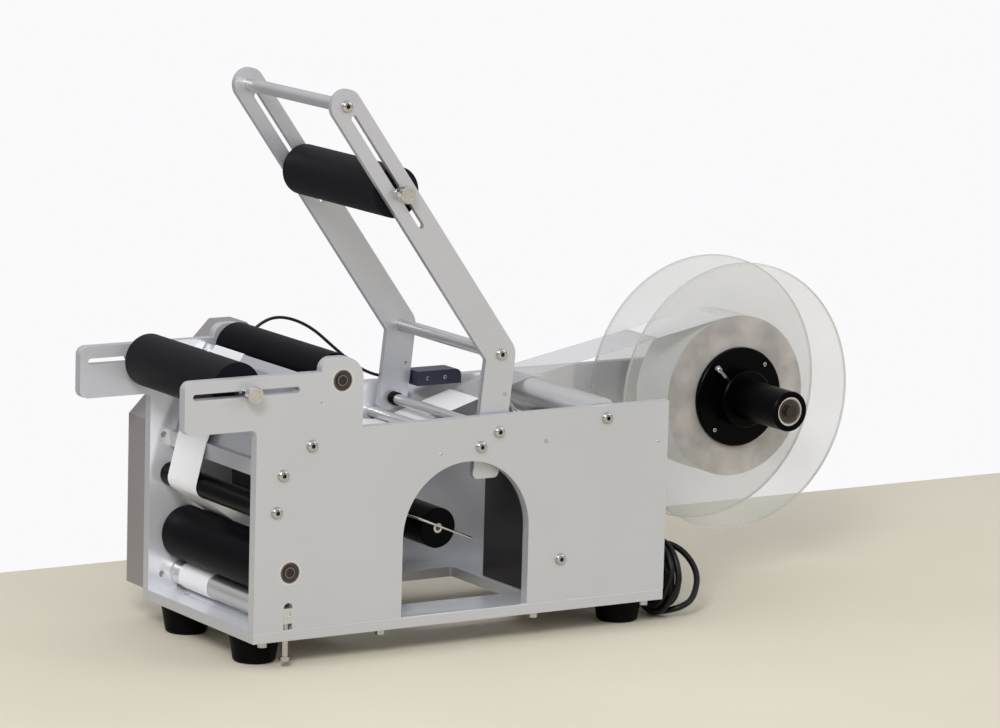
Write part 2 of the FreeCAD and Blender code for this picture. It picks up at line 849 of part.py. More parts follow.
def pulley(name, x, z, radii):
    """A flanged belt pulley with one lane for each radius; lanes without a radius are left out."""
    rim = "+ pulley_rim"
    corners = []
    lanes = [i for i, radius in enumerate(radii) if radius]
    for i in lanes:
        start = f"overall_width + pulley_start + {i} * belt_lane"
        end = f"{start} + belt_lane"
        flange = f"{radii[i]} {rim}"
        corners += [(flange, start), (flange, f"{start} + pulley_flange"), (radii[i], f"{start} + pulley_flange"),
                    (radii[i], f"{end} - pulley_flange"), (flange, f"{end} - pulley_flange")]
    last = f"overall_width + pulley_start + ({lanes[-1]} + 1) * belt_lane"
    corners.append((f"{radii[lanes[-1]]} {rim}", last))
    corners.append(("journal_radius", last))
    corners.append(("journal_radius", f"overall_width + pulley_start + {lanes[0]} * belt_lane"))
    # a flange shared by two neighbouring lanes is one step of the profile
    profile = [spot for i, spot in enumerate(corners)
               if not (i and i % 5 == 0 and i // 5 < len(lanes) and radii[lanes[i // 5]] == radii[lanes[i // 5 - 1]])]
    keep(name, turned(name, profile, x=x, z=z))


def make_motor():
    body = start_body("motor", "motor_x", f"{REAR_INNER} - motor_length", "motor_z")
    sketch = sketch_on(body, "XZ_Plane")
    half = "motor_size / 2"
    add_outline(sketch, [(f"-{half}", f"-{half}"), (half, f"-{half}"), (half, half), (f"-{half}", half)])
    pad(body, sketch, "motor_length")
    round_corners(body, sketch, [(i, "motor_corner") for i in range(4)])
    face = sketch_on(body, "XZ_Plane")
    face.AttachmentOffset = Placement(Vector(0, 0, -number("motor_length")), Rotation())
    face.setExpression("AttachmentOffset.Base.z", "-dims.motor_length")
    add_circle(face, "0", "0", "motor_pilot_radius")
    pad(body, face, "motor_pilot_height")
    shaft_hole = sketch_on(body, "XZ_Plane")
    add_circle(shaft_hole, "0", "0", "journal_radius + running_gap")
    pocket(body, shaft_hole, "motor_length + motor_pilot_height", reverse=False)
    keep("motor", body)
    keep("motor_shaft", turned("motor_shaft", [
        ("0", f"{REAR_INNER} - motor_length - motor_shaft_front"),
        ("journal_radius", f"{REAR_INNER} - motor_length - motor_shaft_front"),
        ("journal_radius", "shaft_rear_end"), ("0", "shaft_rear_end")], x="motor_x", z="motor_z"))


def make_pulleys():
    small = "small_pulley_radius"
    large = "large_pulley_radius"
    pulley("drive_pulley", "drive_x", "drive_z", [small, None, None])
    pulley("pull_pulley", "pull_x", "pull_z", [large, large, None])
    pulley("motor_pulley", "motor_x", "motor_z", [None, small, small])
    pulley("rewind_pulley", "rewind_x", "rewind_z", [None, None, "rewind_pulley_radius"])


# ---------------------------------------------------------------- taut paths

FULL_TURN = 2 * math.pi
LARGEST_WRAP = math.radians(300)


def tangent_angle(first, second):
    """Direction of the straight run from one circle to the next.

    A circle is (x, z, radius, side): side is 1 where the path keeps it on its left, -1 on its right.
    """
    dx = second[0] - first[0]
    dz = second[1] - first[1]
    lean = (second[3] * second[2] - first[3] * first[2]) / math.hypot(dx, dz)
    return math.atan2(dz, dx) - math.asin(lean)


def touch_point(circle, angle, shift):
    """Where a run in this direction touches the circle, moved by shift to the path's left."""
    reach = shift - circle[3] * circle[2]
    return Vector(circle[0] - math.sin(angle) * reach, 0, circle[1] + math.cos(angle) * reach)


def turn_round(circle, arriving, leaving):
    """Angle through which the path turns round a circle, with the sign of the circle's side."""
    turn = (leaving - arriving) % FULL_TURN
    return turn if circle[3] > 0 else turn - FULL_TURN


def touched(circles):
    """The circles that a taut path bends round; one that the straight run clears is left out."""
    kept = list(circles)
    i = 1
    while i < len(kept) - 1:
        arriving = tangent_angle(kept[i - 1], kept[i])
        leaving = tangent_angle(kept[i], kept[i + 1])
        if abs(turn_round(kept[i], arriving, leaving)) > LARGEST_WRAP:
            del kept[i]
            i = 1
        else:
            i += 1
    return kept


def path_edges(circles, shift, closed):
    """Straight runs and arcs of a taut path round the circles, moved sideways by shift."""
    count = len(circles)
    runs = range(count if closed else count - 1)
    angles = [tangent_angle(circles[i], circles[(i + 1) % count]) for i in runs]
    edges = []
    for i in runs:
        following = (i + 1) % count
        leave = touch_point(circles[i], angles[i], shift)
        arrive = touch_point(circles[following], angles[i], shift)
        edges.append(Part.makeLine(leave, arrive))
        if not closed and i == count - 2:
            break
        circle = circles[following]
        turn = turn_round(circle, angles[i], angles[following])
        middle = touch_point(circle, angles[i] + turn / 2, shift)
        end = touch_point(circle, angles[following], shift)
        edges.append(Part.Arc(arrive, middle, end).toShape())
    return edges


def strip(circles, thick, start, width):
    """An open strip of even thickness along a taut path."""
    left = path_edges(circles, thick / 2, False)
    right = path_edges(circles, -thick / 2, False)
    far_end = Part.makeLine(left[-1].Vertexes[-1].Point, right[-1].Vertexes[-1].Point)
    near_end = Part.makeLine(right[0].Vertexes[0].Point, left[0].Vertexes[0].Point)
    outline = Part.Wire(left + [far_end] + right[::-1] + [near_end])
    outline.translate(Vector(0, start, 0))
    return Part.Face(outline).extrude(Vector(0, width, 0))


def make_belts():
    """Three toothed belts, each taut round two pulleys."""
    lift = number("belt_gap + belt_thick / 2")
    small = number("small_pulley_radius")
    large = number("large_pulley_radius")
    drive = (number("drive_x"), number("drive_z"), small + lift, 1)
    pull = (number("pull_x"), number("pull_z"), large + lift, 1)
    motor = (number("motor_x"), number("motor_z"), small + lift, 1)
    rewind = (number("rewind_x"), number("rewind_z"), number("rewind_pulley_radius") + lift, 1)
    half = number("belt_thick / 2")
    belts = []
    for lane, pair in enumerate([(drive, pull), (motor, pull), (motor, rewind)]):
        start = number(f"overall_width + pulley_start + ({lane} + 0.5) * belt_lane - belt_width / 2")
        outer = Part.Face(Part.Wire(path_edges(pair, -half, True)))
        inner = Part.Face(Part.Wire(path_edges(pair, half, True)))
        loop = outer.extrude(Vector(0, number("belt_width"), 0))
        loop = loop.cut(inner.extrude(Vector(0, number("belt_width"), 0)))
        loop.translate(Vector(0, start, 0))
        belts.append(loop)
    made("timing_belts", Part.makeCompound(belts))


def make_web():
    """Liner and labels in one strip, from the roll over the peel edge and through the nip to the rewind."""
    lift = number("web_gap + web_thick / 2")
    peel = peel_points()
    stations = [
        (number("reel_x"), number("reel_z"), number("roll_radius"), 1),
        (number("top_roller_x"), number("top_roller_z"), number("top_roller_radius"), 1),
        (number("pivot_x"), number("pivot_z"), number("rod_radius"), -1),
        (number("stop_rod_x"), number("stop_rod_z"), number("rod_radius"), -1),
        (number("lower_rod_x"), number("lower_rod_z"), number("rod_radius"), -1),
        (peel["edge"].x, peel["edge"].z, number("peel_edge_thick / 2"), 1),
        (peel["shoulder"].x, peel["shoulder"].z, 0.0, 1),
        (peel["shelf"].x, peel["shelf"].z, 0.0, 1),
        (peel["foot"].x, peel["foot"].z, 0.0, 1),
        (number("guide_x"), number("guide_z"), number("guide_radius"), 1),
        (number("pull_x"), number("pull_z"), number("pull_radius"), -1),
        (number("pinch_x"), number(PINCH_Z), number("pinch_radius"), 1),
        (number("rewind_x"), number("rewind_z"), number("wound_radius"), -1),
    ]
    circles = touched([(x, z, radius + lift, side) for x, z, radius, side in stations])
    made("label_web", strip(circles, number("web_thick"), number(WEB_START), number("web_width")))


# ---------------------------------------------------------------- peel plate

def peel_points():
    """Middles of the bar and the knife edge, and the three corners that the liner may turn round."""
    bar = Vector(number("peel_x"), 0, number("peel_z"))
    edge = Vector(number("peel_edge_x"), 0, number("peel_edge_z"))
    along = (edge - bar).normalize()
    side = Vector(-along.z, 0, along.x)
    across = Vector(number("peel_bar_width / 2"), 0, 0)
    rise = Vector(0, 0, number("peel_bar_height / 2"))
    shoulder = edge - along * number("peel_bevel") + side * number("peel_blade_thick / 2")
    return {"bar": bar, "edge": edge, "along": along, "side": side,
            "shoulder": shoulder, "shelf": bar - across + rise, "foot": bar - across - rise}


def make_peel_plate():
    """A bar with a blade that rises to a knife edge, bevelled on its operator's side."""
    spots = peel_points()
    along = spots["along"]
    side = spots["side"]
    half = number("peel_blade_thick / 2")
    tip = number("peel_edge_thick / 2")
    bevel = number("peel_bevel")
    corners = [
        spots["bar"] + side * half,
        spots["shoulder"],
        spots["edge"] + side * tip,
        spots["edge"] - side * tip,
        spots["edge"] - along * bevel - side * half,
        spots["bar"] - side * half,
    ]
    blade = Part.Face(Part.makePolygon(corners + corners[:1]))
    start = number("plate_thick + peel_end_room")
    length = number(f"{INSIDE} - 2 * peel_end_room")
    blade = blade.extrude(Vector(0, length, 0))
    blade.translate(Vector(0, start, 0))
    nose = Part.makeCylinder(tip, length, spots["edge"] + Vector(0, start, 0), Vector(0, 1, 0))
    width = number("peel_bar_width")
    height = number("peel_bar_height")
    bar = Part.makeBox(width, number(INSIDE), height,
                       spots["bar"] + Vector(-width / 2, number("plate_thick"), -height / 2))
    plate = bar.fuse([blade, nose]).removeSplitter()
    bore = number("screw_length - plate_thick + screw_end_room")
    for y in (number("plate_thick"), number(REAR_INNER) - bore):
        hole = Part.makeCylinder(number("screw_radius"), bore, spots["bar"] + Vector(0, y, 0), Vector(0, 1, 0))
        plate = plate.cut(hole)
    made("peel_plate", plate)


# ---------------------------------------------------------------- press arm

def arm_direction():
    """Unit vector from the bend to the tip of the arm, in the sheet's numbers."""
    tip = Vector(number("arm_tip_x"), 0, number("arm_tip_z"))
    bend = Vector(number("arm_bend_x"), 0, number("arm_bend_z"))
    return (tip - bend).normalize(), tip, bend


def make_arm_bar(name, y):
    """A cranked flat bar: round tip, adjusting slot, bend, and a tab below the pivot."""
    along, tip, bend = arm_direction()
    across = Vector(along.z, 0, -along.x)
    tab = Vector(number("arm_tab_x"), 0, number("arm_tab_z"))
    pivot = Vector(number("pivot_x"), 0, number("pivot_z"))
    low = (bend - pivot).normalize()
    low_across = Vector(low.z, 0, -low.x)
    half = number("arm_bar_half")
    tab_half = number("arm_tab_half")
    spine = [tip, bend, pivot, tab]
    right = corner_between(tip, across, along, bend, low_across, low, half)
    left = corner_between(tip, across, along, bend, low_across, low, -half)
    outline = [
        tip + across * half, right, pivot + low_across * half,
        spine[3] + Vector(tab_half, 0, 0), spine[3] - Vector(tab_half, 0, 0),
        pivot - low_across * half, left, tip - across * half,
    ]
    bar = Part.Face(Part.makePolygon(outline + outline[:1])).extrude(Vector(0, number("arm_bar_thick"), 0))
    corner = number("arm_tab_corner")
    bar = round_upright(bar, [
        (outline[3], corner), (outline[4], corner), (right, number("arm_bend_corner"))])
    bar = bar.fuse(Part.makeCylinder(half, number("arm_bar_thick"), tip, Vector(0, 1, 0)))
    bar = bar.removeSplitter()
    thick = number("arm_bar_thick")
    cuts = [Part.makeCylinder(number("rod_radius + running_gap"), thick, pivot, Vector(0, 1, 0))]
    cuts += [Part.makeCylinder(number("screw_radius"), thick, Vector(number(x), 0, number(z)), Vector(0, 1, 0))
             for x, z in ARM_TUBES]
    pin = Vector(number("spring_pin_x"), 0, number("spring_pin_z"))
    cuts.append(Part.makeCylinder(number("spring_pin_radius"), thick, pin, Vector(0, 1, 0)))
    cuts.append(slot_tool(tip - along * number("arm_slot_top"), tip - along * number("arm_slot_bottom"), thick))
    cuts.append(stop_notch(thick))
    for cut in cuts:
        bar = bar.cut(cut)
    made(name, bar, y)


def corner_between(tip, across, along, bend, low_across, low, reach):
    """Where the edges beside the two legs meet at the bend."""
    start = tip + across * reach
    other = bend + low_across * reach
    gap = other - start
    spread = along.x * low.z - along.z * low.x
    travel = (gap.x * low.z - gap.z * low.x) / spread
    return start + along * travel


def round_upright(solid, rounds):
    """Round the edges that stand on the given corners, one radius each."""
    for spot, radius in rounds:
        edges = [edge for edge in solid.Edges
                 if all(math.hypot(v.X - spot.x, v.Z - spot.z) < 0.001 for v in edge.Vertexes)]
        solid = solid.makeFillet(radius, edges)
    return solid


def slot_tool(start, end, depth):
    radius = number("slot_width / 2")
    along = (end - start).normalize()
    side = Vector(along.z, 0, -along.x) * radius
    box = Part.makePolygon([start + side, end + side, end - side, start - side, start + side])
    tool = Part.Face(box).extrude(Vector(0, depth, 0))
    for spot in (start, end):
        tool = tool.fuse(Part.makeCylinder(radius, depth, spot, Vector(0, 1, 0)))
    return tool


def stop_notch(depth):
    """Room for the stop rod as the arm leaves it: the rod's path seen from the arm."""
    pivot = Vector(number("pivot_x"), 0, number("pivot_z"))
    rod = Vector(number("stop_rod_x"), 0, number("stop_rod_z")) - pivot
    radius = number("rod_radius + face_gap")
    notch = None
    for degrees in range(0, 25, 4):
        spot = Rotation(Vector(0, 1, 0), degrees).multVec(rod) + pivot
        peg = Part.makeCylinder(radius, depth, spot, Vector(0, 1, 0))
        notch = peg if notch is None else notch.fuse(peg)
    return notch


# centres of the two tubes that tie the bars together
ARM_TUBES = [("arm_tip_x", "arm_tip_z"), ("arm_bend_x", "arm_bend_z")]
ARM_FRONT = "plate_thick + arm_bar_gap"
ARM_REAR = "overall_width - plate_thick - 2 * arm_bar_gap - arm_bar_thick - arm_play"
ARM_INSIDE = f"{ARM_FRONT} + arm_bar_thick"


def make_press_arm():
    make_arm_bar("press_arm_front_bar", ARM_FRONT)
    make_arm_bar("press_arm_rear_bar", ARM_REAR)
    length = f"{ARM_REAR} - ({ARM_INSIDE})"
    tube = turned("arm_tube", ring("arm_tube_radius", "screw_radius", "0", length))
    group("press_arm_tie_tubes", [copy_of(tube, x, ARM_INSIDE, z) for x, z in ARM_TUBES])
    pin_end = "spring_y + spring_pin_past"
    screw = button_screw("arm_screw", "arm_bar_thick + arm_screw_grip")
    group("arm_screws", [copy_of(screw, x, ARM_FRONT, z) for x, z in ARM_TUBES]
          + [copy_of(screw, x, f"{ARM_REAR} + arm_bar_thick", z, FACE_BACK) for x, z in ARM_TUBES])
    keep("arm_spring_pin", turned("arm_spring_pin", [
        ("0", f"{ARM_FRONT} - spring_pin_stand_out"), ("spring_pin_radius", f"{ARM_FRONT} - spring_pin_stand_out"),
        ("spring_pin_radius", pin_end), ("0", pin_end)], x="spring_pin_x", z="spring_pin_z"))
    keep("frame_spring_pin", turned("frame_spring_pin", [
        ("0", "-spring_pin_stand_out"), ("spring_pin_radius", "-spring_pin_stand_out"),
        ("spring_pin_radius", pin_end), ("0", pin_end)], x="spring_anchor_x", z="spring_anchor_z"))
    collar = turned("collar", ring("collar_radius", "rod_radius", "0", "collar_width"))
    group("pivot_collars", [
        copy_of(collar, "pivot_x", f"{ARM_INSIDE} + face_gap", "pivot_z"),
        copy_of(collar, "pivot_x", f"{ARM_REAR} - face_gap - collar_width", "pivot_z")])


def make_lift_spring():
    """Close-wound extension spring between the two pins, with an eye round each."""
    top = Vector(number("spring_pin_x"), number("spring_y"), number("spring_pin_z"))
    foot = Vector(number("spring_anchor_x"), number("spring_y"), number("spring_anchor_z"))
    wire = number("spring_wire_radius")
    eye = number("spring_pin_radius + spring_wire_radius + spring_eye_gap")
    hook = 2 * eye + number("spring_hook_room")
    cap = number("spring_end_thick")
    along = (foot - top).normalize()
    coil_start = top + along * hook
    coil_length = (foot - top).Length - 2 * hook
    barrel = Part.makeCylinder(number("spring_radius"), coil_length, coil_start, along)
    bore = Part.makeCylinder(number("spring_radius") - 2 * wire, coil_length, coil_start, along)
    shape = barrel.cut(bore)
    for spot, way in ((top, 1), (foot, -1)):
        loop = Part.makeTorus(eye, wire, spot, Vector(0, 1, 0))
        neck_end = spot + along * way * (hook + cap)
        neck = Part.makeCylinder(wire, hook + cap - eye, neck_end, along * -way)
        shape = shape.fuse([loop, neck])
    for spot in (coil_start, coil_start + along * (coil_length - cap)):
        shape = shape.fuse(Part.makeCylinder(number("spring_radius"), cap, spot, along))
    made("lift_spring", shape.removeSplitter())


def knob_profile(face):
    """Thumb screw whose collar bears on the face at y = face and whose head points to -Y."""
    head = f"{face} - knob_collar - knob_thick"
    return [
        ("0", head), ("knob_radius - knob_edge", head), ("knob_radius", f"{head} + knob_edge"),
        ("knob_radius", f"{face} - knob_collar - knob_edge"), ("knob_radius - knob_edge", f"{face} - knob_collar"),
        ("knob_collar_radius", f"{face} - knob_collar"), ("knob_collar_radius", face), ("0", face)]


def make_axle(name, core_start, core_end, tip_start, tip_end, x, z):
    """Axle with necks that slide in the slots at both ends."""
    keep(name, turned(name, [
        ("0", tip_start), ("axle_neck_radius", tip_start), ("axle_neck_radius", core_start),
        ("axle_radius", core_start), ("axle_radius", core_end), ("axle_neck_radius", core_end),
        ("axle_neck_radius", tip_end), ("0", tip_end)], x=x, z=z))


def make_bottle_roller():
    make_axle("bottle_roller_axle", "plate_thick + face_gap", f"{REAR_INNER} - face_gap",
              "-face_gap", "overall_width + face_gap", "bottle_roller_x", "slot_z")
    sleeve = ring("bottle_roller_radius", "sleeve_bore_radius",
                  "bottle_roller_start", f"{REAR_INNER} - bottle_roller_room")
    keep("bottle_roller_sleeve", turned("bottle_roller_sleeve", sleeve, x="bottle_roller_x", z="slot_z"))
    knob = turned("slide_knob", knob_profile("-face_gap"))
    group("bottle_roller_knobs", [
        copy_of(knob, "bottle_roller_x", "0", "slot_z"),
        copy_of(knob, "bottle_roller_x", "overall_width", "slot_z", FACE_BACK)])


def make_press_roller():
    x = f"arm_tip_x + press_roller_down * {ARM_RUN_X}"
    z = f"arm_tip_z + press_roller_down * {ARM_RUN_Z}"
    make_axle("press_roller_axle", f"{ARM_INSIDE} + face_gap", f"{ARM_REAR} - face_gap",
              f"{ARM_FRONT} - face_gap", f"{ARM_REAR} + arm_bar_thick + face_gap", x, z)
    sleeve = ring("press_roller_radius", "sleeve_bore_radius",
                  f"{ARM_INSIDE} + press_roller_margin", f"{ARM_REAR} - press_roller_margin")
    keep("press_roller_sleeve", turned("press_roller_sleeve", sleeve, x=x, z=z))
    knob = turned("arm_knob", knob_profile("-face_gap"))
    group("press_roller_knobs", [
        copy_of(knob, x, ARM_FRONT, z),
        copy_of(knob, x, f"{ARM_REAR} + arm_bar_thick", z, FACE_BACK)])


ARM_RUN = "sqrt((arm_bend_x - arm_tip_x)^2 + (arm_bend_z - arm_tip_z)^2)"
ARM_RUN_X = f"(arm_bend_x - arm_tip_x) / {ARM_RUN}"
ARM_RUN_Z = f"(arm_bend_z - arm_tip_z) / {ARM_RUN}"


# ---------------------------------------------------------------- rewind shaft

def make_rewind():
    keep("rewind_shaft", turned("rewind_shaft", [
        ("0", "rewind_start"),
        ("rewind_radius - turned_edge", "rewind_start"),
        ("rewind_radius", "rewind_start + turned_edge"),
        ("rewind_radius", f"{REAR_INNER} - rewind_rear_room"),
        ("shoulder_radius", f"{REAR_INNER} - rewind_rear_room"),
        ("shoulder_radius", "overall_width - bearing_width - face_gap"),
        ("journal_radius", "overall_width - bearing_width - face_gap"),
        ("journal_radius", "shaft_rear_end"),
        ("0", "shaft_rear_end"),
    ], x="rewind_x", z="rewind_z"))
    liner = ring("wound_radius", "rewind_radius", WEB_START, WEB_END)
    keep("wound_liner", turned("wound_liner", liner, x="rewind_x", z="rewind_z"))
    axis = Vector(number("rewind_x"), 0, number("rewind_z"))
    wire = number("clip_radius")
    front = number("rewind_start") - wire
    points = [
        axis + Vector(-number("clip_tail_x"), number(f"{WEB_START} - clip_tail_length"), number("clip_tail_z")),
        axis + Vector(-number("clip_corner_x"), front, number("clip_corner_z")),
        axis + Vector(number("clip_tip_x"), front, -number("clip_tip_z")),
    ]
    made("rewind_clip", bent_wire(points, wire, number("clip_bend")))


def rounded_path(points, radius=None):
    """Straight runs joined by tangent arcs, and the arcs' radii.

    Without a radius each arc takes 0.45 of its shorter run, divided by the tangent of half the turn.
    """
    edges = []
    radii = []
    start = points[0]
    for i in range(1, len(points) - 1):
        back = points[i - 1] - points[i]
        ahead = points[i + 1] - points[i]
        half_turn = (math.pi - back.getAngle(ahead)) / 2
        shorter = min(back.Length, ahead.Length)
        arc = 0.45 * shorter / math.tan(half_turn) if radius is None else radius
        trim = arc * math.tan(half_turn)
        back.normalize()
        ahead.normalize()
        first = points[i] + back * trim
        last = points[i] + ahead * trim
        inward = (back + ahead).normalize()
        middle = points[i] + inward * (arc / math.cos(half_turn) - arc)
        edges.append(Part.LineSegment(start, first).toShape())
        edges.append(Part.Arc(first, middle, last).toShape())
        radii.append(arc)
        start = last
    edges.append(Part.LineSegment(start, points[-1]).toShape())
    return Part.Wire(edges), radii


def bent_wire(points, wire_radius, bend_radius=None):
    """A round wire or cord swept along a rounded path."""
    path, radii = rounded_path(points, bend_radius)
    direction = (points[1] - points[0]).normalize()
    section = Part.Wire(Part.makeCircle(wire_radius, points[0], direction))
    tube = path.makePipeShell([section], True, True)
    expected = math.pi * wire_radius ** 2 * path.Length
    print(f"wire r {wire_radius}: length {path.Length:.0f}, volume {tube.Volume / expected:.4f} of"
          f" section x length, radii {[round(radius, 1) for radius in radii]}")
    return tube


# ---------------------------------------------------------------- label reel

def make_reel():
    roll_end = WEB_END
    tube_end = f"{REAR_INNER} - reel_tube_room"
    disc_start = f"{roll_end} + face_gap"
    disc_end = f"{disc_start} + disc_thick"
    bore_end = f"{REAR_INNER} - screw_length + plate_thick - screw_end_room"
    keep("reel_shaft", turned("reel_shaft", [
        ("0", "reel_tube_start - reel_shaft_stand_out"),
        ("reel_shaft_radius", "reel_tube_start - reel_shaft_stand_out"),
        ("reel_shaft_radius", f"{tube_end} + reel_shaft_room"),
        ("reel_shaft_radius + reel_shaft_shoulder", f"{tube_end} + reel_shaft_room"),
        ("reel_shaft_radius + reel_shaft_shoulder", REAR_INNER), ("screw_radius", REAR_INNER),
        ("screw_radius", bore_end),
        ("0", bore_end),
    ], x="reel_x", z="reel_z"))
    tube_inner = "reel_bearing_radius"
    hub_start = f"{disc_end} + face_gap"
    keep("reel_core_tube", turned("reel_core_tube", [
        (tube_inner, "reel_tube_start"),
        ("reel_tube_radius - turned_edge", "reel_tube_start"),
        ("reel_tube_radius", "reel_tube_start + turned_edge"),
        ("reel_tube_radius", f"{roll_end} - spigot_length"),
        ("spigot_radius", f"{roll_end} - spigot_length"),
        ("spigot_radius", hub_start),
        ("hub_radius", hub_start),
        ("hub_radius", f"{hub_start} + hub_thick"),
        ("reel_tube_radius", f"{hub_start} + hub_thick"),
        ("reel_tube_radius", tube_end),
        (tube_inner, tube_end),
        (tube_inner, f"{tube_end} - reel_bearing_width"),
        (f"{tube_inner} - reel_tube_lip", f"{tube_end} - reel_bearing_width"),
        (f"{tube_inner} - reel_tube_lip", "reel_tube_start + reel_bearing_inset + reel_bearing_width"),
        (tube_inner, "reel_tube_start + reel_bearing_inset + reel_bearing_width"),
    ], x="reel_x", z="reel_z"))
    bearing = turned("reel_bearing", bearing_profile(
        "reel_shaft_radius + running_gap", "reel_bearing_radius", "reel_bearing_width"))
    group("reel_bearings", [
        copy_of(bearing, "reel_x", "reel_tube_start + reel_bearing_inset", "reel_z"),
        copy_of(bearing, "reel_x", f"{tube_end} - reel_bearing_width", "reel_z")])
    keep("reel_rear_disc", turned(
        "reel_rear_disc", ring("disc_radius", "spigot_radius", disc_start, disc_end), x="reel_x", z="reel_z"))
    core_outer = "core_inner_radius + core_thick"
    keep("cardboard_core", turned(
        "cardboard_core", ring(core_outer, "core_inner_radius", WEB_START, roll_end), x="reel_x", z="reel_z"))
    keep("label_roll", turned(
        "label_roll", ring("roll_radius", core_outer, WEB_START, roll_end), x="reel_x", z="reel_z"))
    make_reel_front()


# the hub's locking screw points up and towards the operator's end
LOCK_SIDE = Rotation(Vector(0, 1, 0), -45)


def make_reel_front():
    """The disc and hub that slide along the tube to the label's width, and the screw that locks them."""
    disc_end = f"{WEB_START} - face_gap"
    disc_start = f"{disc_end} - disc_thick"
    bore = "reel_tube_radius + running_gap"
    keep("reel_front_disc", turned(
        "reel_front_disc", ring("disc_radius", "spigot_radius", disc_start, disc_end), x="reel_x", z="reel_z"))
    hub_start = f"{disc_start} - hub_thick"
    collar_start = f"{hub_start} - hub_collar_length"
    body = turned("reel_hub", [
        (bore, collar_start),
        ("hub_collar_radius - turned_edge", collar_start),
        ("hub_collar_radius", f"{collar_start} + turned_edge"),
        ("hub_collar_radius", hub_start),
        ("hub_radius - turned_edge", hub_start),
        ("hub_radius", f"{hub_start} + turned_edge"),
        ("hub_radius", disc_start),
        ("spigot_radius", disc_start),
        ("spigot_radius", f"{disc_end} + spigot_length"),
        (bore, f"{disc_end} + spigot_length"),
    ], x="reel_x", z="reel_z", turn=LOCK_SIDE)
    doc.recompute()
    screw_y = f"{collar_start} + hub_collar_length / 2"
    hole = sketch_on(body, "XY_Plane")
    add_circle(hole, "0", screw_y, "thumb_stem_radius + running_gap")
    pocket(body, hole, "hub_collar_radius + face_gap", reverse=True)
    keep("reel_hub", body)
    screw = turned("hub_thumb_screw", [
        ("0", "reel_tube_radius + face_gap"),
        ("thumb_stem_radius", "reel_tube_radius + face_gap"),
        ("thumb_stem_radius", "thumb_reach - thumb_head_length"),
        ("thumb_head_radius - thumb_edge", "thumb_reach - thumb_head_length"),
        ("thumb_head_radius", "thumb_reach - thumb_head_length + thumb_edge"),
        ("thumb_head_radius", "thumb_reach - thumb_edge"),
        ("thumb_head_radius - thumb_edge", "thumb_reach"),
        ("0", "thumb_reach"),
    ], x="reel_x", y=screw_y, z="reel_z", turn=LOCK_SIDE.multiply(Rotation(Vector(1, 0, 0), 90)))
    keep("hub_thumb_screw", screw)


# ---------------------------------------------------------------- sensor, control box and mains lead

def make_sensor():
    """Fork sensor screwed to the rear plate; the web runs through its slit."""
    back = REAR_INNER
    body = start_body("label_sensor", "0", f"{back} - sensor_depth", "0")
    sketch = sketch_on(body, "XZ_Plane")
    add_outline(sketch, [
        ("sensor_start", "sensor_bottom"), ("sensor_end", "sensor_bottom"),
        ("sensor_end", "sensor_top"), ("sensor_start", "sensor_top")])
    pad(body, sketch, "sensor_depth")
    round_corners(body, sketch, [(2, "(sensor_top - sensor_bottom) * 0.45")])
    keep("label_sensor", body)


def make_sensor_cable():
    """Thin lead from the top of the rear cover over the rear plate to the sensor."""
    points = [Vector(x, number("overall_width") - inward, z) for x, inward, z in CABLE_POINTS]
    made("sensor_cable", bent_wire(points, number("sensor_cable_radius")))


# length, depth in from the rear plate's outer face, and height: the lead leaves the sensor's
# end face, rises and comes down through the cover's sloping top
CABLE_POINTS = [
    (273, 12.4, 183),
    (262, 12.4, 183),
    (240, 12.4, 185),
    (218, 11.5, 195),
    (196, 7, 214),
    (172, 1, 236),
    (146, -6, 246),
    (127, -11, 241),
    (118, -13, 231.4),
]


def make_control_box():
    body = start_body("control_box", "0", "plate_thick", "0")
    sketch = sketch_on(body, "XY_Plane")
    add_outline(sketch, [
        ("box_start", "0"), ("box_end", "0"), ("box_end", "box_width"), ("box_start", "box_width")])
    pad(body, sketch, "box_height", reverse=False)
    round_corners(body, sketch, [(2, "box_corner"), (3, "box_corner")], turn_axis="z")
    screw = sketch_on(body, "XZ_Plane")
    add_circle(screw, "box_start + box_screw_inset", "box_screw_z", "screw_radius")
    pocket(body, screw, "screw_length - plate_thick + screw_end_room", reverse=False)
    window = sketch_on(body, "YZ_Plane")
    window.AttachmentOffset = Placement(Vector(0, 0, number("box_end")), Rotation())
    window.setExpression("AttachmentOffset.Base.z", "dims.box_end")
    gap = "face_gap"
    near = f"switch_y - plate_thick - switch_width / 2 - {gap}"
    far = f"switch_y - plate_thick + switch_width / 2 + {gap}"
    low = f"switch_z - switch_height / 2 - {gap}"
    high = f"switch_z + switch_height / 2 + {gap}"
    add_outline(window, [(near, low), (far, low), (far, high), (near, high)])
    pocket(body, window, "switch_depth + switch_room", reverse=False)
    keep("control_box", body)


def make_switch():
    """Rocker with two sloping halves, standing a little out of its window."""
    body = start_body("power_switch", "box_end", "switch_y - switch_width / 2", "switch_z")
    sketch = sketch_on(body, "XZ_Plane")
    add_outline(sketch, [
        ("-switch_depth / 2", "-switch_tail_half"), ("0", "-switch_height / 2 + switch_edge"),
        ("switch_high", "-switch_height / 2 + switch_edge"), ("switch_middle", "0"),
        ("switch_low", "switch_height / 2 - switch_edge"), ("0", "switch_height / 2 - switch_edge"),
        ("-switch_depth / 2", "switch_tail_half")])
    pad(body, sketch, "switch_width")
    keep("power_switch", body)


def make_gland():
    along_x = Rotation(Vector(0, 0, 1), -90)
    keep("cord_gland", turned("cord_gland", [
        ("0", "0"), ("gland_radius", "0"), ("gland_radius", "gland_collar_length"),
        ("gland_neck_radius", "gland_collar_length"), ("cord_radius + gland_wall", "gland_length"),
        ("0", "gland_length")], x="box_end", y="gland_y", z="gland_z", turn=along_x))


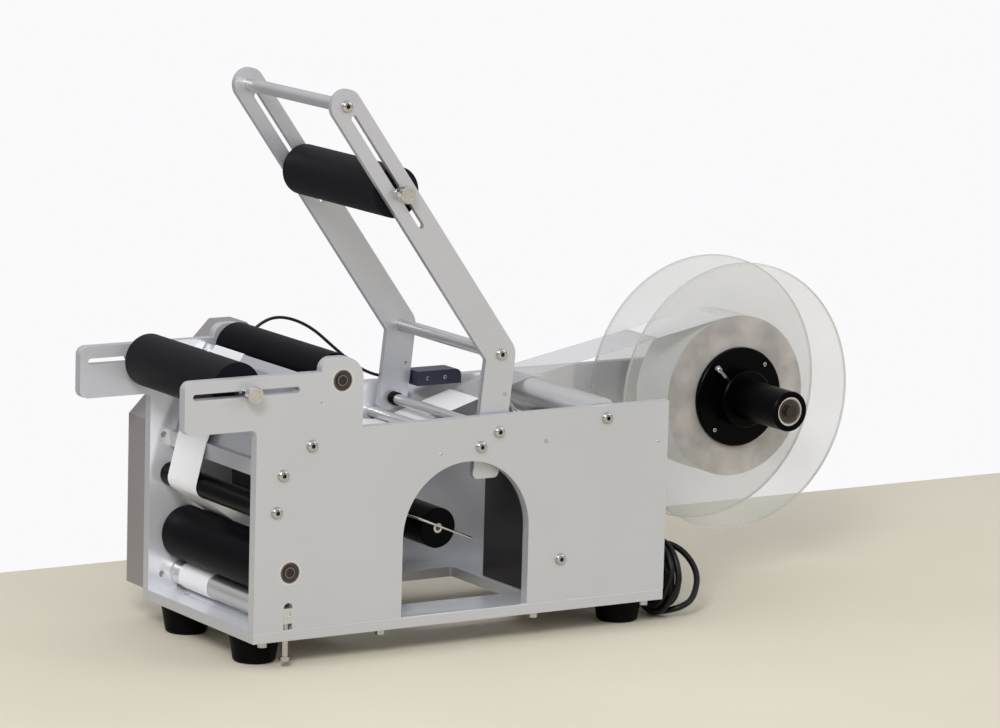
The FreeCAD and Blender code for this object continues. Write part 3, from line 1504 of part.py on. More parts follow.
# hand-chosen route of the uncoiled lead, from the gland's mouth to the top of the hank
CORD_POINTS = [
    (447, 88, 27),
    (474, 88, 27),
    (500, 66, 25),
    (506, 38, 4),
    (490, 20, -17),
    (462, 12, -20),
]

PLUG_WAY = (0.35, 1, 0)


def make_cord():
    made("power_cord", bent_wire([Vector(*spot) for spot in CORD_POINTS], number("cord_radius")))
    centre = Vector(number("hank_x"), number("hank_y"),
                    number("hank_radius + hank_section - base_thick - foot_height"))
    made("cord_hank", Part.makeTorus(number("hank_radius"), number("hank_section"), centre, Vector(1, 0, 0)))
    plug_radius = number("plug_radius")
    floor = -number("base_thick + foot_height")
    neck = number("plug_neck_length")
    spot = Vector(number("hank_x + plug_past_hank"), number("hank_y + plug_aside"), floor + plug_radius)
    way = Vector(*PLUG_WAY).normalize()
    body = Part.makeCylinder(plug_radius, number("plug_length") - neck, spot + way * neck, way)
    relief = Part.makeCone(number("cord_radius + plug_neck_wall"), plug_radius, neck, spot, way)
    plug = body.fuse(relief).removeSplitter()
    face = spot + way * number("plug_length")
    side = Vector(-way.y, way.x, 0)
    for hand in (-1, 1):
        pin_foot = face + side * hand * number("plug_pin_spread")
        plug = plug.fuse(Part.makeCylinder(number("plug_pin_radius"), number("plug_pin_length"), pin_foot, way))
    made("power_plug", plug.removeSplitter())


# ---------------------------------------------------------------- the whole machine

make_base_plate()
make_side_plate("front_side_plate", rear=False)
make_side_plate("rear_side_plate", rear=True)
make_feet()
make_base_screws()
make_cover()
make_button_screws()
make_cross_rods()
make_bearings()
make_rollers()
make_pinch_blocks()
make_peel_plate()
make_motor()
make_pulleys()
make_belts()
make_web()
make_press_arm()
make_lift_spring()
make_bottle_roller()
make_press_roller()
make_rewind()
make_reel()
make_sensor()
make_sensor_cable()
make_control_box()
make_switch()
make_gland()
make_cord()

doc.recompute()
for item in doc.Objects:
    if "Invalid" in item.State or "Error" in item.State:
        raise RuntimeError(f"{item.Name} did not rebuild: {item.State}")
for name, item in pieces.items():
    if item.Shape.isNull() or not item.Shape.isValid():
        raise RuntimeError(f"{name} has no sound shape")
for name, item in pieces.items():
    item.Shape.exportStep(f"parts/{name}.step")
print(f"{len(pieces)} sub-parts written")
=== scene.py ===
import math

import bmesh
import bpy
import numpy as np
from mathutils import Matrix, Vector


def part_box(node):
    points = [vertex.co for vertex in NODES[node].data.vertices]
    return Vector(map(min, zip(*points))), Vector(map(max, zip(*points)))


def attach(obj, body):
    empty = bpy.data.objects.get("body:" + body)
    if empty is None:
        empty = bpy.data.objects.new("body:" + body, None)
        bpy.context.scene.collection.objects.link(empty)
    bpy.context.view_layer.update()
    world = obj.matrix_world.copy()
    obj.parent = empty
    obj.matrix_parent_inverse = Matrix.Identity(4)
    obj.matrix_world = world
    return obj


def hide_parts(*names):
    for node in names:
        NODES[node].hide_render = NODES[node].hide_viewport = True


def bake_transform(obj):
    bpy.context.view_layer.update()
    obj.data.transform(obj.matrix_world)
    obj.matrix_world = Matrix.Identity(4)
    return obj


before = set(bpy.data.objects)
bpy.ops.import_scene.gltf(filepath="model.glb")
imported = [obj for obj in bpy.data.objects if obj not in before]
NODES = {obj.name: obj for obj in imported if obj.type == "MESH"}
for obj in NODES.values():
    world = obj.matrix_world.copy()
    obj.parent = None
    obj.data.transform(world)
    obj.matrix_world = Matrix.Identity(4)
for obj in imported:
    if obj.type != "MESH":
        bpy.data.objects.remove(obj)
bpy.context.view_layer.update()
TAU = 2 * math.pi


# ---------------------------------------------------------------- camera, light and stage

CAMERA_PLACE = Vector((-2.3176, -3.8480, 1.0302))
CAMERA_YAW = 0.5607
CAMERA_PITCH = -0.17198
CAMERA_ROLL = 0.02708
CAMERA_LENS = 177.0
CAMERA_SENSOR = 36.0
CAMERA_REACH = 100.0
TABLE_BACK = 0.362
TABLE_REACH = 6.0
LAMP_TARGET = Vector((0, 0, 0.2))
LAMPS = [("key", (-2.2, -2.6, 2.4), 1.3, 92), ("fill", (2.6, -2.4, 1.6), 2.2, 20)]
ROOM_LOW = (0.33, 0.34, 0.36)
ROOM_HIGH = (0.85, 0.86, 0.88)
WALL = (0.96, 0.95, 0.965)


def add_camera():
    """The camera, turned by yaw and pitch and then rolled about its own line of sight."""
    ahead = Vector((math.sin(CAMERA_YAW) * math.cos(CAMERA_PITCH),
                    math.cos(CAMERA_YAW) * math.cos(CAMERA_PITCH), math.sin(CAMERA_PITCH)))
    right = ahead.cross(Vector((0, 0, 1))).normalized()
    up = right.cross(ahead)
    cos, sin = math.cos(CAMERA_ROLL), math.sin(CAMERA_ROLL)
    across = right * cos + up * sin
    upright = up * cos - right * sin
    data = bpy.data.cameras.new("camera")
    data.lens = CAMERA_LENS
    data.sensor_width = CAMERA_SENSOR
    data.clip_end = CAMERA_REACH
    camera = bpy.data.objects.new("camera", data)
    camera.matrix_world = Matrix((
        (across.x, upright.x, -ahead.x, CAMERA_PLACE.x),
        (across.y, upright.y, -ahead.y, CAMERA_PLACE.y),
        (across.z, upright.z, -ahead.z, CAMERA_PLACE.z),
        (0, 0, 0, 1)))
    bpy.context.scene.collection.objects.link(camera)
    bpy.context.scene.camera = camera


def add_lamp(name, place, size, power):
    """A round soft lamp that shines on the machine."""
    data = bpy.data.lights.new(name, "AREA")
    data.shape = "DISK"
    data.size = size
    data.energy = power
    lamp = bpy.data.objects.new(name, data)
    lamp.location = place
    lamp.rotation_mode = "QUATERNION"
    lamp.rotation_quaternion = (LAMP_TARGET - Vector(place)).to_track_quat("-Z", "Y")
    bpy.context.scene.collection.objects.link(lamp)


def seen_directly(nodes, links):
    """1 for a ray that shows the background itself, also through glass."""
    path = nodes.new("ShaderNodeLightPath")
    either = nodes.new("ShaderNodeMath")
    either.operation = "MAXIMUM"
    links.new(path.outputs["Is Camera Ray"], either.inputs[0])
    links.new(path.outputs["Is Transmission Ray"], either.inputs[1])
    return either.outputs[0]


def add_world():
    """A pale wall to look at, and a room that is dim at eye level and bright overhead to light by."""
    world = bpy.data.worlds.new("world")
    world.use_nodes = True
    nodes, links = world.node_tree.nodes, world.node_tree.links
    nodes.clear()
    out = nodes.new("ShaderNodeOutputWorld")
    mix = nodes.new("ShaderNodeMixShader")
    soft = nodes.new("ShaderNodeBackground")
    place = nodes.new("ShaderNodeTexCoord")
    split = nodes.new("ShaderNodeSeparateXYZ")
    links.new(place.outputs["Generated"], split.inputs[0])
    links.new(blended(nodes, links, split.outputs["Z"], 0.0, 0.8, ROOM_LOW, ROOM_HIGH), soft.inputs["Color"])
    soft.inputs["Strength"].default_value = 1.0
    shown = nodes.new("ShaderNodeBackground")
    shown.inputs["Color"].default_value = (*WALL, 1)
    shown.inputs["Strength"].default_value = 1.0
    links.new(seen_directly(nodes, links), mix.inputs[0])
    links.new(soft.outputs[0], mix.inputs[1])
    links.new(shown.outputs[0], mix.inputs[2])
    links.new(mix.outputs[0], out.inputs["Surface"])
    bpy.context.scene.world = world


def add_floor():
    """Table top whose far edge lies behind the machine."""
    corners = [(-TABLE_REACH, TABLE_BACK, 0), (TABLE_REACH, TABLE_BACK, 0),
               (TABLE_REACH, -TABLE_REACH, 0), (-TABLE_REACH, -TABLE_REACH, 0)]
    mesh = bpy.data.meshes.new("table_top")
    mesh.from_pydata(corners, [], [[0, 3, 2, 1]])
    mesh.update()
    floor = bpy.data.objects.new("table_top", mesh)
    mesh.materials.append(floor_material())
    bpy.context.scene.collection.objects.link(floor)


# ---------------------------------------------------------------- materials

def new_material(name):
    """A material with its nodes, links and shader, and the object's own coordinates."""
    made = bpy.data.materials.new(name)
    made.use_nodes = True
    nodes, links = made.node_tree.nodes, made.node_tree.links
    shader = nodes["Principled BSDF"]
    place = nodes.new("ShaderNodeTexCoord")
    return made, nodes, links, shader, place.outputs["Object"]


def noise(nodes, links, where, scale, detail=3.0, stretch=None):
    """Noise over the object's own coordinates, in features per metre."""
    if stretch:
        mapping = nodes.new("ShaderNodeMapping")
        mapping.inputs["Scale"].default_value = stretch
        links.new(where, mapping.inputs["Vector"])
        where = mapping.outputs["Vector"]
    texture = nodes.new("ShaderNodeTexNoise")
    texture.inputs["Scale"].default_value = scale
    texture.inputs["Detail"].default_value = detail
    links.new(where, texture.inputs["Vector"])
    return texture.outputs["Fac"]


def blended(nodes, links, factor, low, high, dark, light):
    """A colour that runs from dark to light while the factor runs from low to high."""
    ramp = nodes.new("ShaderNodeValToRGB")
    ramp.color_ramp.elements[0].position = low
    ramp.color_ramp.elements[0].color = (*dark, 1)
    ramp.color_ramp.elements[1].position = high
    ramp.color_ramp.elements[1].color = (*light, 1)
    links.new(factor, ramp.inputs["Fac"])
    return ramp.outputs["Color"]


def ranged(nodes, links, factor, low, high):
    """A value that runs from low to high with a factor from 0 to 1."""
    step = nodes.new("ShaderNodeMapRange")
    step.inputs["To Min"].default_value = low
    step.inputs["To Max"].default_value = high
    links.new(factor, step.inputs["Value"])
    return step.outputs["Result"]


def bumped(nodes, links, shader, factor, depth):
    """Relief of a depth in metres, from a factor."""
    bump = nodes.new("ShaderNodeBump")
    bump.inputs["Distance"].default_value = depth
    bump.inputs["Strength"].default_value = 1.0
    links.new(factor, bump.inputs["Height"])
    links.new(bump.outputs["Normal"], shader.inputs["Normal"])


def shade(value, share):
    """A colour made lighter or darker."""
    return tuple(min(1.0, c * share) for c in value)


def surface(name, colour, metallic, rough, grain=900.0, depth=0.00002, vary=0.05, blotch=14.0,
            stretch=None, specular=None):
    """The common recipe: broad colour drift, changing gloss and a fine grain."""
    made, nodes, links, shader, where = new_material(name)
    broad = noise(nodes, links, where, blotch, 4.0)
    fine = noise(nodes, links, where, grain, 2.0, stretch)
    links.new(blended(nodes, links, broad, 0.3, 0.7, shade(colour, 1 - vary), shade(colour, 1 + vary)),
              shader.inputs["Base Color"])
    links.new(ranged(nodes, links, broad, rough * 0.85, min(1.0, rough * 1.15)), shader.inputs["Roughness"])
    shader.inputs["Metallic"].default_value = metallic
    if specular is not None:
        shader.inputs["Specular IOR Level"].default_value = specular
    bumped(nodes, links, shader, fine, depth)
    return made


def floor_material():
    """Plain pale cloth with a slow drift of colour."""
    made, nodes, links, shader, where = new_material("table_cloth")
    broad = noise(nodes, links, where, 1.6, 3.0)
    links.new(blended(nodes, links, broad, 0.3, 0.7, (0.625, 0.575, 0.465), (0.685, 0.635, 0.52)),
              shader.inputs["Base Color"])
    shader.inputs["Roughness"].default_value = 0.8
    bumped(nodes, links, shader, noise(nodes, links, where, 900.0), 0.0001)
    return made


def distance_from_axis(nodes, links, where, centre_x, centre_z):
    """How far a point lies from an axis along Y."""
    split = nodes.new("ShaderNodeSeparateXYZ")
    links.new(where, split.inputs[0])
    flat = nodes.new("ShaderNodeCombineXYZ")
    links.new(split.outputs["X"], flat.inputs["X"])
    links.new(split.outputs["Z"], flat.inputs["Z"])
    away = nodes.new("ShaderNodeVectorMath")
    away.operation = "DISTANCE"
    away.inputs[1].default_value = (centre_x, 0, centre_z)
    links.new(flat.outputs[0], away.inputs[0])
    return away.outputs["Value"]


# the clear discs: how far inside the edge the rim's look begins and is full, and how much each shows
RIM_START = 0.0012
RIM_END = 0.0004
SHEET_ALPHA = 0.28
RIM_ALPHA = 0.75


def acrylic_material(name, centre_x, centre_z, rim):
    """Clear sheet that shows more at its polished rim."""
    made, nodes, links, shader, where = new_material(name)
    away = distance_from_axis(nodes, links, where, centre_x, centre_z)
    edge = nodes.new("ShaderNodeMapRange")
    edge.inputs["From Min"].default_value = rim - RIM_START
    edge.inputs["From Max"].default_value = rim - RIM_END
    edge.inputs["To Min"].default_value = SHEET_ALPHA
    edge.inputs["To Max"].default_value = RIM_ALPHA
    links.new(away, edge.inputs["Value"])
    smear = noise(nodes, links, where, 9.0, 4.0)
    tint = blended(nodes, links, smear, 0.35, 0.65, (0.49, 0.50, 0.475), (0.62, 0.62, 0.595))
    links.new(tint, shader.inputs["Base Color"])
    links.new(edge.outputs["Result"], shader.inputs["Alpha"])
    links.new(ranged(nodes, links, smear, 0.04, 0.12), shader.inputs["Roughness"])
    shader.inputs["IOR"].default_value = 1.49
    return made


def paper_material(name, colour, see_through, rough=0.32):
    """Smooth paper with a little drift of shade."""
    made, nodes, links, shader, where = new_material(name)
    broad = noise(nodes, links, where, 22.0, 3.0)
    fine = noise(nodes, links, where, 1200.0, 2.0)
    links.new(blended(nodes, links, broad, 0.3, 0.7, shade(colour, 0.96), shade(colour, 1.03)),
              shader.inputs["Base Color"])
    links.new(ranged(nodes, links, broad, rough * 0.8, rough * 1.2), shader.inputs["Roughness"])
    shader.inputs["Alpha"].default_value = see_through
    bumped(nodes, links, shader, fine, 0.00001)
    return made


LABEL_EDGE = 0.0002


def web_material(name, white, clear, start, end):
    """Liner with labels: glossier and greyer over the clear stretch between two lengths along X."""
    made, nodes, links, shader, where = new_material(name)
    split = nodes.new("ShaderNodeSeparateXYZ")
    links.new(where, split.inputs[0])
    steps = []
    for edge, near, far in ((start, 0.0, 1.0), (end, 1.0, 0.0)):
        step = nodes.new("ShaderNodeMapRange")
        step.inputs["From Min"].default_value = edge - LABEL_EDGE
        step.inputs["From Max"].default_value = edge + LABEL_EDGE
        step.inputs["To Min"].default_value = near
        step.inputs["To Max"].default_value = far
        links.new(split.outputs["X"], step.inputs["Value"])
        steps.append(step.outputs["Result"])
    both = nodes.new("ShaderNodeMath")
    both.operation = "MULTIPLY"
    links.new(steps[0], both.inputs[0])
    links.new(steps[1], both.inputs[1])
    links.new(blended(nodes, links, both.outputs[0], 0.0, 1.0, white, clear), shader.inputs["Base Color"])
    links.new(ranged(nodes, links, both.outputs[0], 0.34, 0.12), shader.inputs["Roughness"])
    links.new(ranged(nodes, links, both.outputs[0], 0.97, 0.42), shader.inputs["Alpha"])
    bumped(nodes, links, shader, noise(nodes, links, where, 26.0, 2.0), 0.0002)
    return made


def wound_paper_material(name, centre_x, centre_z):
    """Edge of many layers of liner: fine rings under mottled patches of glue and dust."""
    made, nodes, links, shader, where = new_material(name)
    away = distance_from_axis(nodes, links, where, centre_x, centre_z)
    rings = nodes.new("ShaderNodeTexNoise")
    rings.noise_dimensions = "1D"
    rings.inputs["Scale"].default_value = 1400.0
    rings.inputs["Detail"].default_value = 4.0
    links.new(away, rings.inputs["W"])
    patches = noise(nodes, links, where, 34.0, 6.0)
    mottled = blended(nodes, links, patches, 0.36, 0.62, (0.30, 0.235, 0.205), (0.66, 0.575, 0.53))
    lines = blended(nodes, links, rings.outputs["Fac"], 0.35, 0.65, (0.84, 0.84, 0.84), (1.0, 1.0, 1.0))
    mix = nodes.new("ShaderNodeMix")
    mix.data_type = "RGBA"
    mix.blend_type = "MULTIPLY"
    mix.inputs["Factor"].default_value = 1.0
    links.new(mottled, mix.inputs["A"])
    links.new(lines, mix.inputs["B"])
    links.new(mix.outputs["Result"], shader.inputs["Base Color"])
    shader.inputs["Roughness"].default_value = 0.75
    bumped(nodes, links, shader, rings.outputs["Fac"], 0.0001)
    return made


def middle(node):
    """The middle of a node's box."""
    low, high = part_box(node)
    return (low + high) / 2


REEL = middle("label_roll")

# a bearing's rings from its middle to its edge: share of its radius, and how light it is from there
BEARING_CENTRE = (0.02, 0.015, 0.012, 1)
BEARING_EDGE = (0.75, 0.75, 0.74, 1)
BEARING_RINGS = [(0.36, 0.03), (0.42, 0.30), (0.47, 0.02), (0.56, 0.10), (0.61, 0.015), (0.70, 0.12),
                 (0.75, 0.015), (0.80, 0.02), (0.83, 0.45), (0.88, 0.10), (0.91, 0.75)]

# where along X the web is bare, clear liner
CLEAR_START = 0.092
CLEAR_END = 0.292

# screws and pins that only the scene has
HUB_THICK = 0.005
HUB_SCREW_REACH = 0.0415
HUB_SCREW_TURN = 47.0
FRONT_PINS = [(-0.155, 0.2411), (-0.0281, 0.1838), (0.2091, 0.1774)]

LOOKS = {
    "plate": surface("anodised_plate", (0.545, 0.55, 0.575), 0.5, 0.4, 1500.0, 0.00001, 0.02, 7.0),
    # painted light: the anodised plate made lighter, bluer and glossier for the plates' inner faces and the
    # base's top
    "inside": surface("anodised_inside_painted_light", (0.86, 0.87, 0.91), 0.5, 0.2, 1500.0, 0.00001, 0.03, 9.0),
    "arm": surface("anodised_bar", (0.555, 0.56, 0.59), 0.6, 0.36, 1500.0, 0.00001, 0.02, 9.0),
    "cover": surface("painted_cover", (0.29, 0.265, 0.26), 0.25, 0.42, 700.0, 0.00003, 0.04, 11.0),
    "turned": surface("turned_aluminium", (0.66, 0.655, 0.65), 0.9, 0.3, 1500.0, 0.00002, 0.04, 20.0,
                      (0.15, 4.0, 0.15)),
    "steel": surface("bright_steel", (0.52, 0.51, 0.49), 1.0, 0.13, 2600.0, 0.000006, 0.06, 60.0),
    "grip": surface("knurled_steel", (0.60, 0.59, 0.58), 1.0, 0.15, 2600.0, 0.00001, 0.06, 60.0),
    # painted shade: the screws' steel made near black inside the hexagon sockets
    "socket": surface("socket_steel_painted_shade", (0.06, 0.055, 0.05), 0.8, 0.35, 2600.0, 0.000006, 0.1, 60.0),
    # painted shade: the shafts' steel made near black, for the shade in the bearing bores
    "shaft_steel_painted_shade": surface("shaft_steel_painted_shade", (0.045, 0.034, 0.03), 0.7, 0.3, 2600.0, 0.000008, 0.1, 70.0),
    "rubber": surface("roller_rubber", (0.0072, 0.0064, 0.0090), 0.0, 0.5, 2400.0, 0.00002, 0.12, 16.0,
                      (1.0, 0.2, 1.0), 0.08),
    # the drive and pull rollers: darker and less shiny than the other rollers' rubber
    "darker_rubber": surface("driven_rubber", (0.0026, 0.0024, 0.0036), 0.0, 0.42, 2400.0, 0.00002, 0.12, 16.0,
                          (1.0, 0.2, 1.0), 0.04),
    "foot": surface(
        "foot_rubber", (0.0022, 0.002, 0.0024), 0.0, 0.5, 1800.0, 0.00004, 0.15, 40.0, None, 0.06),
    "belt": surface("belt_rubber", (0.02, 0.02, 0.02), 0.0, 0.6, 1800.0, 0.00004, 0.15, 40.0),
    "black": surface("black_anodised", (0.0009, 0.0009, 0.0012), 0.0, 0.3, 1500.0, 0.00001, 0.15, 25.0,
                     (0.2, 3.0, 0.2), 0.05),
    "plastic": surface("black_plastic", (0.006, 0.0055, 0.007), 0.0, 0.38, 1600.0, 0.00003, 0.1, 20.0,
                       None, 0.3),
    "box": surface("box_lacquer", (0.016, 0.014, 0.0155), 0.0, 0.22, 900.0, 0.00002, 0.1, 12.0, None, 0.4),
    "motor": surface("motor_paint", (0.02, 0.02, 0.022), 0.3, 0.4, 900.0, 0.00003, 0.1, 20.0),
    "navy": surface("sensor_plastic", (0.012, 0.014, 0.036), 0.0, 0.38, 1300.0, 0.00002, 0.1, 30.0),
    "card": surface("core_card", (0.42, 0.34, 0.27), 0.0, 0.85, 500.0, 0.0001, 0.08, 60.0),
    "paper": paper_material("label_paper", (0.86, 0.86, 0.88), 0.86),
    "web": web_material("label_web", (0.88, 0.88, 0.90), (0.60, 0.59, 0.605), CLEAR_START, CLEAR_END),
    "roll_skin": paper_material("roll_skin", (0.82, 0.815, 0.83), 1.0, 0.24),
    "wound": wound_paper_material("wound_edge", REEL.x, REEL.z),
    "acrylic": acrylic_material("clear_acrylic", REEL.x, REEL.z,
                                (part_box("reel_front_disc")[1] - REEL).x),
    "sheath": surface(
        "cord_sheath", (0.005, 0.0045, 0.0055), 0.0, 0.4, 900.0, 0.00003, 0.1, 30.0, None, 0.25),
}

NODE_LOOKS = {
    "plate": ["base_plate", "front_side_plate", "rear_side_plate"],
    "arm": ["press_arm_front_bar", "press_arm_rear_bar", "peel_plate"],
    "cover": ["rear_cover"],
    "turned": ["pinch_roller", "top_web_roller", "press_arm_tie_tubes", "pinch_blocks", "drive_pulley",
               "pull_pulley", "motor_pulley", "rewind_pulley", "cross_rods", "bottle_roller_axle",
               "press_roller_axle"],
    "steel": ["base_screws", "button_screws", "arm_screws", "bottle_roller_knobs", "press_roller_knobs",
              "hub_thumb_screw", "lift_spring", "frame_spring_pin", "arm_spring_pin", "rewind_clip"],
    # shaft ends darkened as painted shade
    "shaft_steel_painted_shade": ["drive_shaft", "pull_shaft", "motor_shaft", "reel_shaft"],
    "rubber": ["bottle_roller_sleeve", "press_roller_sleeve"],
    "darker_rubber": ["drive_roller_sleeve", "pull_roller_sleeve"],
    "foot": ["rubber_feet"],
    "belt": ["timing_belts"],
    "black": ["rewind_shaft", "reel_core_tube", "reel_hub", "pivot_collars", "guide_roller"],
    "motor": ["motor"],
    "plastic": ["power_switch", "cord_gland", "power_plug"],
    "box": ["control_box"],
    "navy": ["label_sensor"],
    "card": ["cardboard_core"],
    "web": ["label_web"],
    "paper": ["wound_liner"],
    "roll_skin": ["label_roll"],
    "acrylic": ["reel_front_disc", "reel_rear_disc"],
    "sheath": ["power_cord", "cord_hank", "sensor_cable"],
}


def dress_nodes():
    """Every node of the machine gets its material."""
    for look, names in NODE_LOOKS.items():
        for name in names:
            mesh = NODES[name].data
            mesh.materials.clear()
            mesh.materials.append(LOOKS[look])


def paint_faces(name, look, chosen):
    """Give the faces that a test picks another material."""
    mesh = NODES[name].data
    mesh.materials.append(LOOKS[look])
    index = len(mesh.materials) - 1
    for face in mesh.polygons:
        if chosen(face):
            face.material_index = index


# width of the bevel on a node's edges
SOFT_EDGES = {
    "base_plate": 0.0005, "front_side_plate": 0.0004, "rear_side_plate": 0.0004,
    "press_arm_front_bar": 0.0004, "press_arm_rear_bar": 0.0004, "peel_plate": 0.0003,
    "control_box": 0.0008, "label_sensor": 0.0006,
}
WELD_REACH = 0.00001
BEVEL_ANGLE = 40
FACING_SHARE = 0.7


def soften(name, width):
    """A small bevel on a piece's sharp edges, for the light to catch."""
    weld = NODES[name].modifiers.new("weld", "WELD")
    weld.merge_threshold = WELD_REACH
    bevel = NODES[name].modifiers.new("bevel", "BEVEL")
    bevel.width = width
    bevel.segments = 2
    bevel.limit_method = "ANGLE"
    bevel.angle_limit = math.radians(BEVEL_ANGLE)
    bevel.use_clamp_overlap = True


# ---------------------------------------------------------------- shared shape code

def lone_parts(name):
    """Vertex positions of each separate solid of a node."""
    mesh = NODES[name].data
    points = np.array([v.co for v in mesh.vertices], float)
    keys = {}
    lead = []
    for i, key in enumerate(map(tuple, np.round(points * 1e6).astype(int))):
        lead.append(keys.setdefault(key, i))
    parent = list(range(len(points)))

    def root(i):
        """The vertex that stands for the solid of vertex i."""
        while parent[i] != i:
            parent[i] = parent[parent[i]]
            i = parent[i]
        return i

    for i, first in enumerate(lead):
        parent[root(i)] = root(first)
    for edge in mesh.edges:
        parent[root(edge.vertices[0])] = root(edge.vertices[1])
    groups = {}
    for i in range(len(points)):
        groups.setdefault(root(i), []).append(i)
    return [points[rows] for rows in groups.values()]


def bearing_material(name, centre_x, centre_z, radius):
    """Sealed ball bearing seen from its side: a bright outer race round dark, ringed rubber."""
    made, nodes, links, shader, where = new_material(name)
    away = distance_from_axis(nodes, links, where, centre_x, centre_z)
    share = nodes.new("ShaderNodeMapRange")
    share.inputs["From Max"].default_value = radius
    links.new(away, share.inputs["Value"])
    ramp = nodes.new("ShaderNodeValToRGB")
    stops = ramp.color_ramp.elements
    stops[0].color = BEARING_CENTRE
    stops[1].color = BEARING_EDGE
    for place, level in BEARING_RINGS:
        stops.new(place).color = (level, level * 0.9, level * 0.85, 1)
    links.new(share.outputs["Result"], ramp.inputs["Fac"])
    links.new(ramp.outputs["Color"], shader.inputs["Base Color"])
    links.new(ranged(nodes, links, noise(nodes, links, where, 900.0), 0.18, 0.32), shader.inputs["Roughness"])
    shader.inputs["Metallic"].default_value = 0.75
    bumped(nodes, links, shader, share.outputs["Result"], 0.0004)
    return made


def paint_bearings(name):
    """Each bearing of a node gets rings about its own axis."""
    mesh = NODES[name].data
    middles = []
    mesh.materials.clear()
    for i, points in enumerate(lone_parts(name)):
        centre = Vector((points.min(0) + points.max(0)) / 2)
        radius = (points.max(0) - points.min(0))[0] / 2
        middles.append(centre)
        mesh.materials.append(bearing_material(f"{name}_{i}", centre.x, centre.z, radius))
    for face in mesh.polygons:
        face.material_index = min(range(len(middles)), key=lambda i: (middles[i] - face.center).length)


def finish_mesh(name, shape, look, body, smooth=35.0, second=None):
    """A piece from a built shape; edges sharper than the smooth angle stay sharp."""
    mesh = bpy.data.meshes.new(name)
    bmesh.ops.recalc_face_normals(shape, faces=shape.faces)
    shape.to_mesh(mesh)
    shape.free()
    mesh.materials.append(LOOKS[look])
    if second:
        mesh.materials.append(LOOKS[second])
    mesh.shade_smooth()
    mesh.set_sharp_from_angle(angle=math.radians(smooth))
    piece = bpy.data.objects.new(name, mesh)
    bpy.context.scene.collection.objects.link(piece)
    if body:
        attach(piece, body)
    return piece


KNURL_DEPTH = 0.00025
BAND_CORNER = 1.1


def hexagon(turn, flat):
    """Distance from the middle to a hexagon's side, in a direction."""
    return flat / math.cos((turn + TAU / 12) % (TAU / 6) - TAU / 12)


def lathe(shape, profile, matrix, segments=32):
    """Turn a profile of (radius, height, form) about Z; form is round, hex, band, knurl or socket.

    A socket is a hexagon whose faces get the piece's second look; on the screws that look is painted shade in
    the recess.
    """
    rings = []
    for radius, height, form in profile:
        if radius == 0:
            rings.append([shape.verts.new(matrix @ Vector((0, 0, height)))])
            continue
        ring = []
        for i in range(segments):
            turn = TAU * i / segments
            reach = radius
            if form in ("hex", "socket"):
                reach = hexagon(turn, radius)
            elif form == "band":
                reach = min(hexagon(turn, radius), radius * BAND_CORNER)
            elif form == "knurl" and i % 2:
                reach = radius - KNURL_DEPTH
            spot = Vector((reach * math.cos(turn), reach * math.sin(turn), height))
            ring.append(shape.verts.new(matrix @ spot))
        rings.append(ring)
    for near, far, (_, _, form), (_, _, next_form) in zip(rings, rings[1:], profile, profile[1:]):
        for i in range(max(len(near), len(far))):
            after = (i + 1) % max(len(near), len(far))
            if len(near) == 1:
                face = shape.faces.new((near[0], far[i], far[after]))
            elif len(far) == 1:
                face = shape.faces.new((near[i], near[after], far[0]))
            else:
                face = shape.faces.new((near[i], near[after], far[after], far[i]))
            face.material_index = int(form == next_form == "socket")


def facing(point, direction):
    """Placement whose Z points along a direction."""
    turn = Vector(direction).to_track_quat("Z", "Y").to_matrix().to_4x4()
    return Matrix.Translation(Vector(point)) @ turn


# ---------------------------------------------------------------- screws and knobs

TO_FRONT = (0, -1, 0)
TO_BACK = (0, 1, 0)

# how close to a solid's end a point lies that tells its head, its shank or its collar
HEAD_REACH = 0.0035
SHANK_REACH = 0.001
END_REACH = 0.0005

# a button head's height, its socket and the edge round it, and the edge at the shank's end
HEAD_TALL = 0.0033
HEAD_SOCKET = 0.0019
SOCKET_RIM = 0.0022
SHANK_EDGE = 0.0006


def screw_heads(name, body):
    """Button-head screws with hexagon sockets in place of the plain ones."""
    shape = bmesh.new()
    for points in lone_parts(name):
        low, high = points.min(0), points.max(0)
        x, z = (low[0] + high[0]) / 2, (low[2] + high[2]) / 2
        away = np.hypot(points[:, 0] - x, points[:, 2] - z)
        head = away.max()
        near, far = points[:, 1] < low[1] + HEAD_REACH, points[:, 1] > high[1] - END_REACH
        front = away[near].max() > away[far].max()
        under = high[1] - low[1] - HEAD_TALL
        tip = points[:, 1] > high[1] - SHANK_REACH if front else points[:, 1] < low[1] + SHANK_REACH
        shank = away[tip].max()
        origin = (x, low[1] + HEAD_TALL, z) if front else (x, high[1] - HEAD_TALL, z)
        placed = facing(origin, TO_FRONT if front else TO_BACK)
        profile = [
            (0, HEAD_TALL * 0.3, "socket"), (HEAD_SOCKET, HEAD_TALL * 0.3, "socket"),
            (HEAD_SOCKET, HEAD_TALL * 0.93, "socket"), (SOCKET_RIM, HEAD_TALL, "hex"),
            (head * 0.62, HEAD_TALL * 0.985, "round"), (head * 0.78, HEAD_TALL * 0.9, "round"),
            (head * 0.9, HEAD_TALL * 0.68, "round"), (head * 0.975, HEAD_TALL * 0.36, "round"),
            (head, HEAD_TALL * 0.12, "round"), (head * 0.99, 0.0, "round"), (shank, 0.0, "round"),
            (shank, -under + SHANK_EDGE, "round"), (shank * 0.8, -under, "round"), (0, -under, "round")]
        lathe(shape, profile, placed, 36)
    piece = finish_mesh(name + "_heads", shape, "steel", body, 32.0, "socket")
    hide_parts(name)


# a thumb nut's grip and the edges on it and on its collar
GRIP_LENGTH = 0.008
GRIP_EDGE = 0.0009
GRIP_END = 0.001
COLLAR_EDGE = 0.0003
FACE_DISH = 0.0005


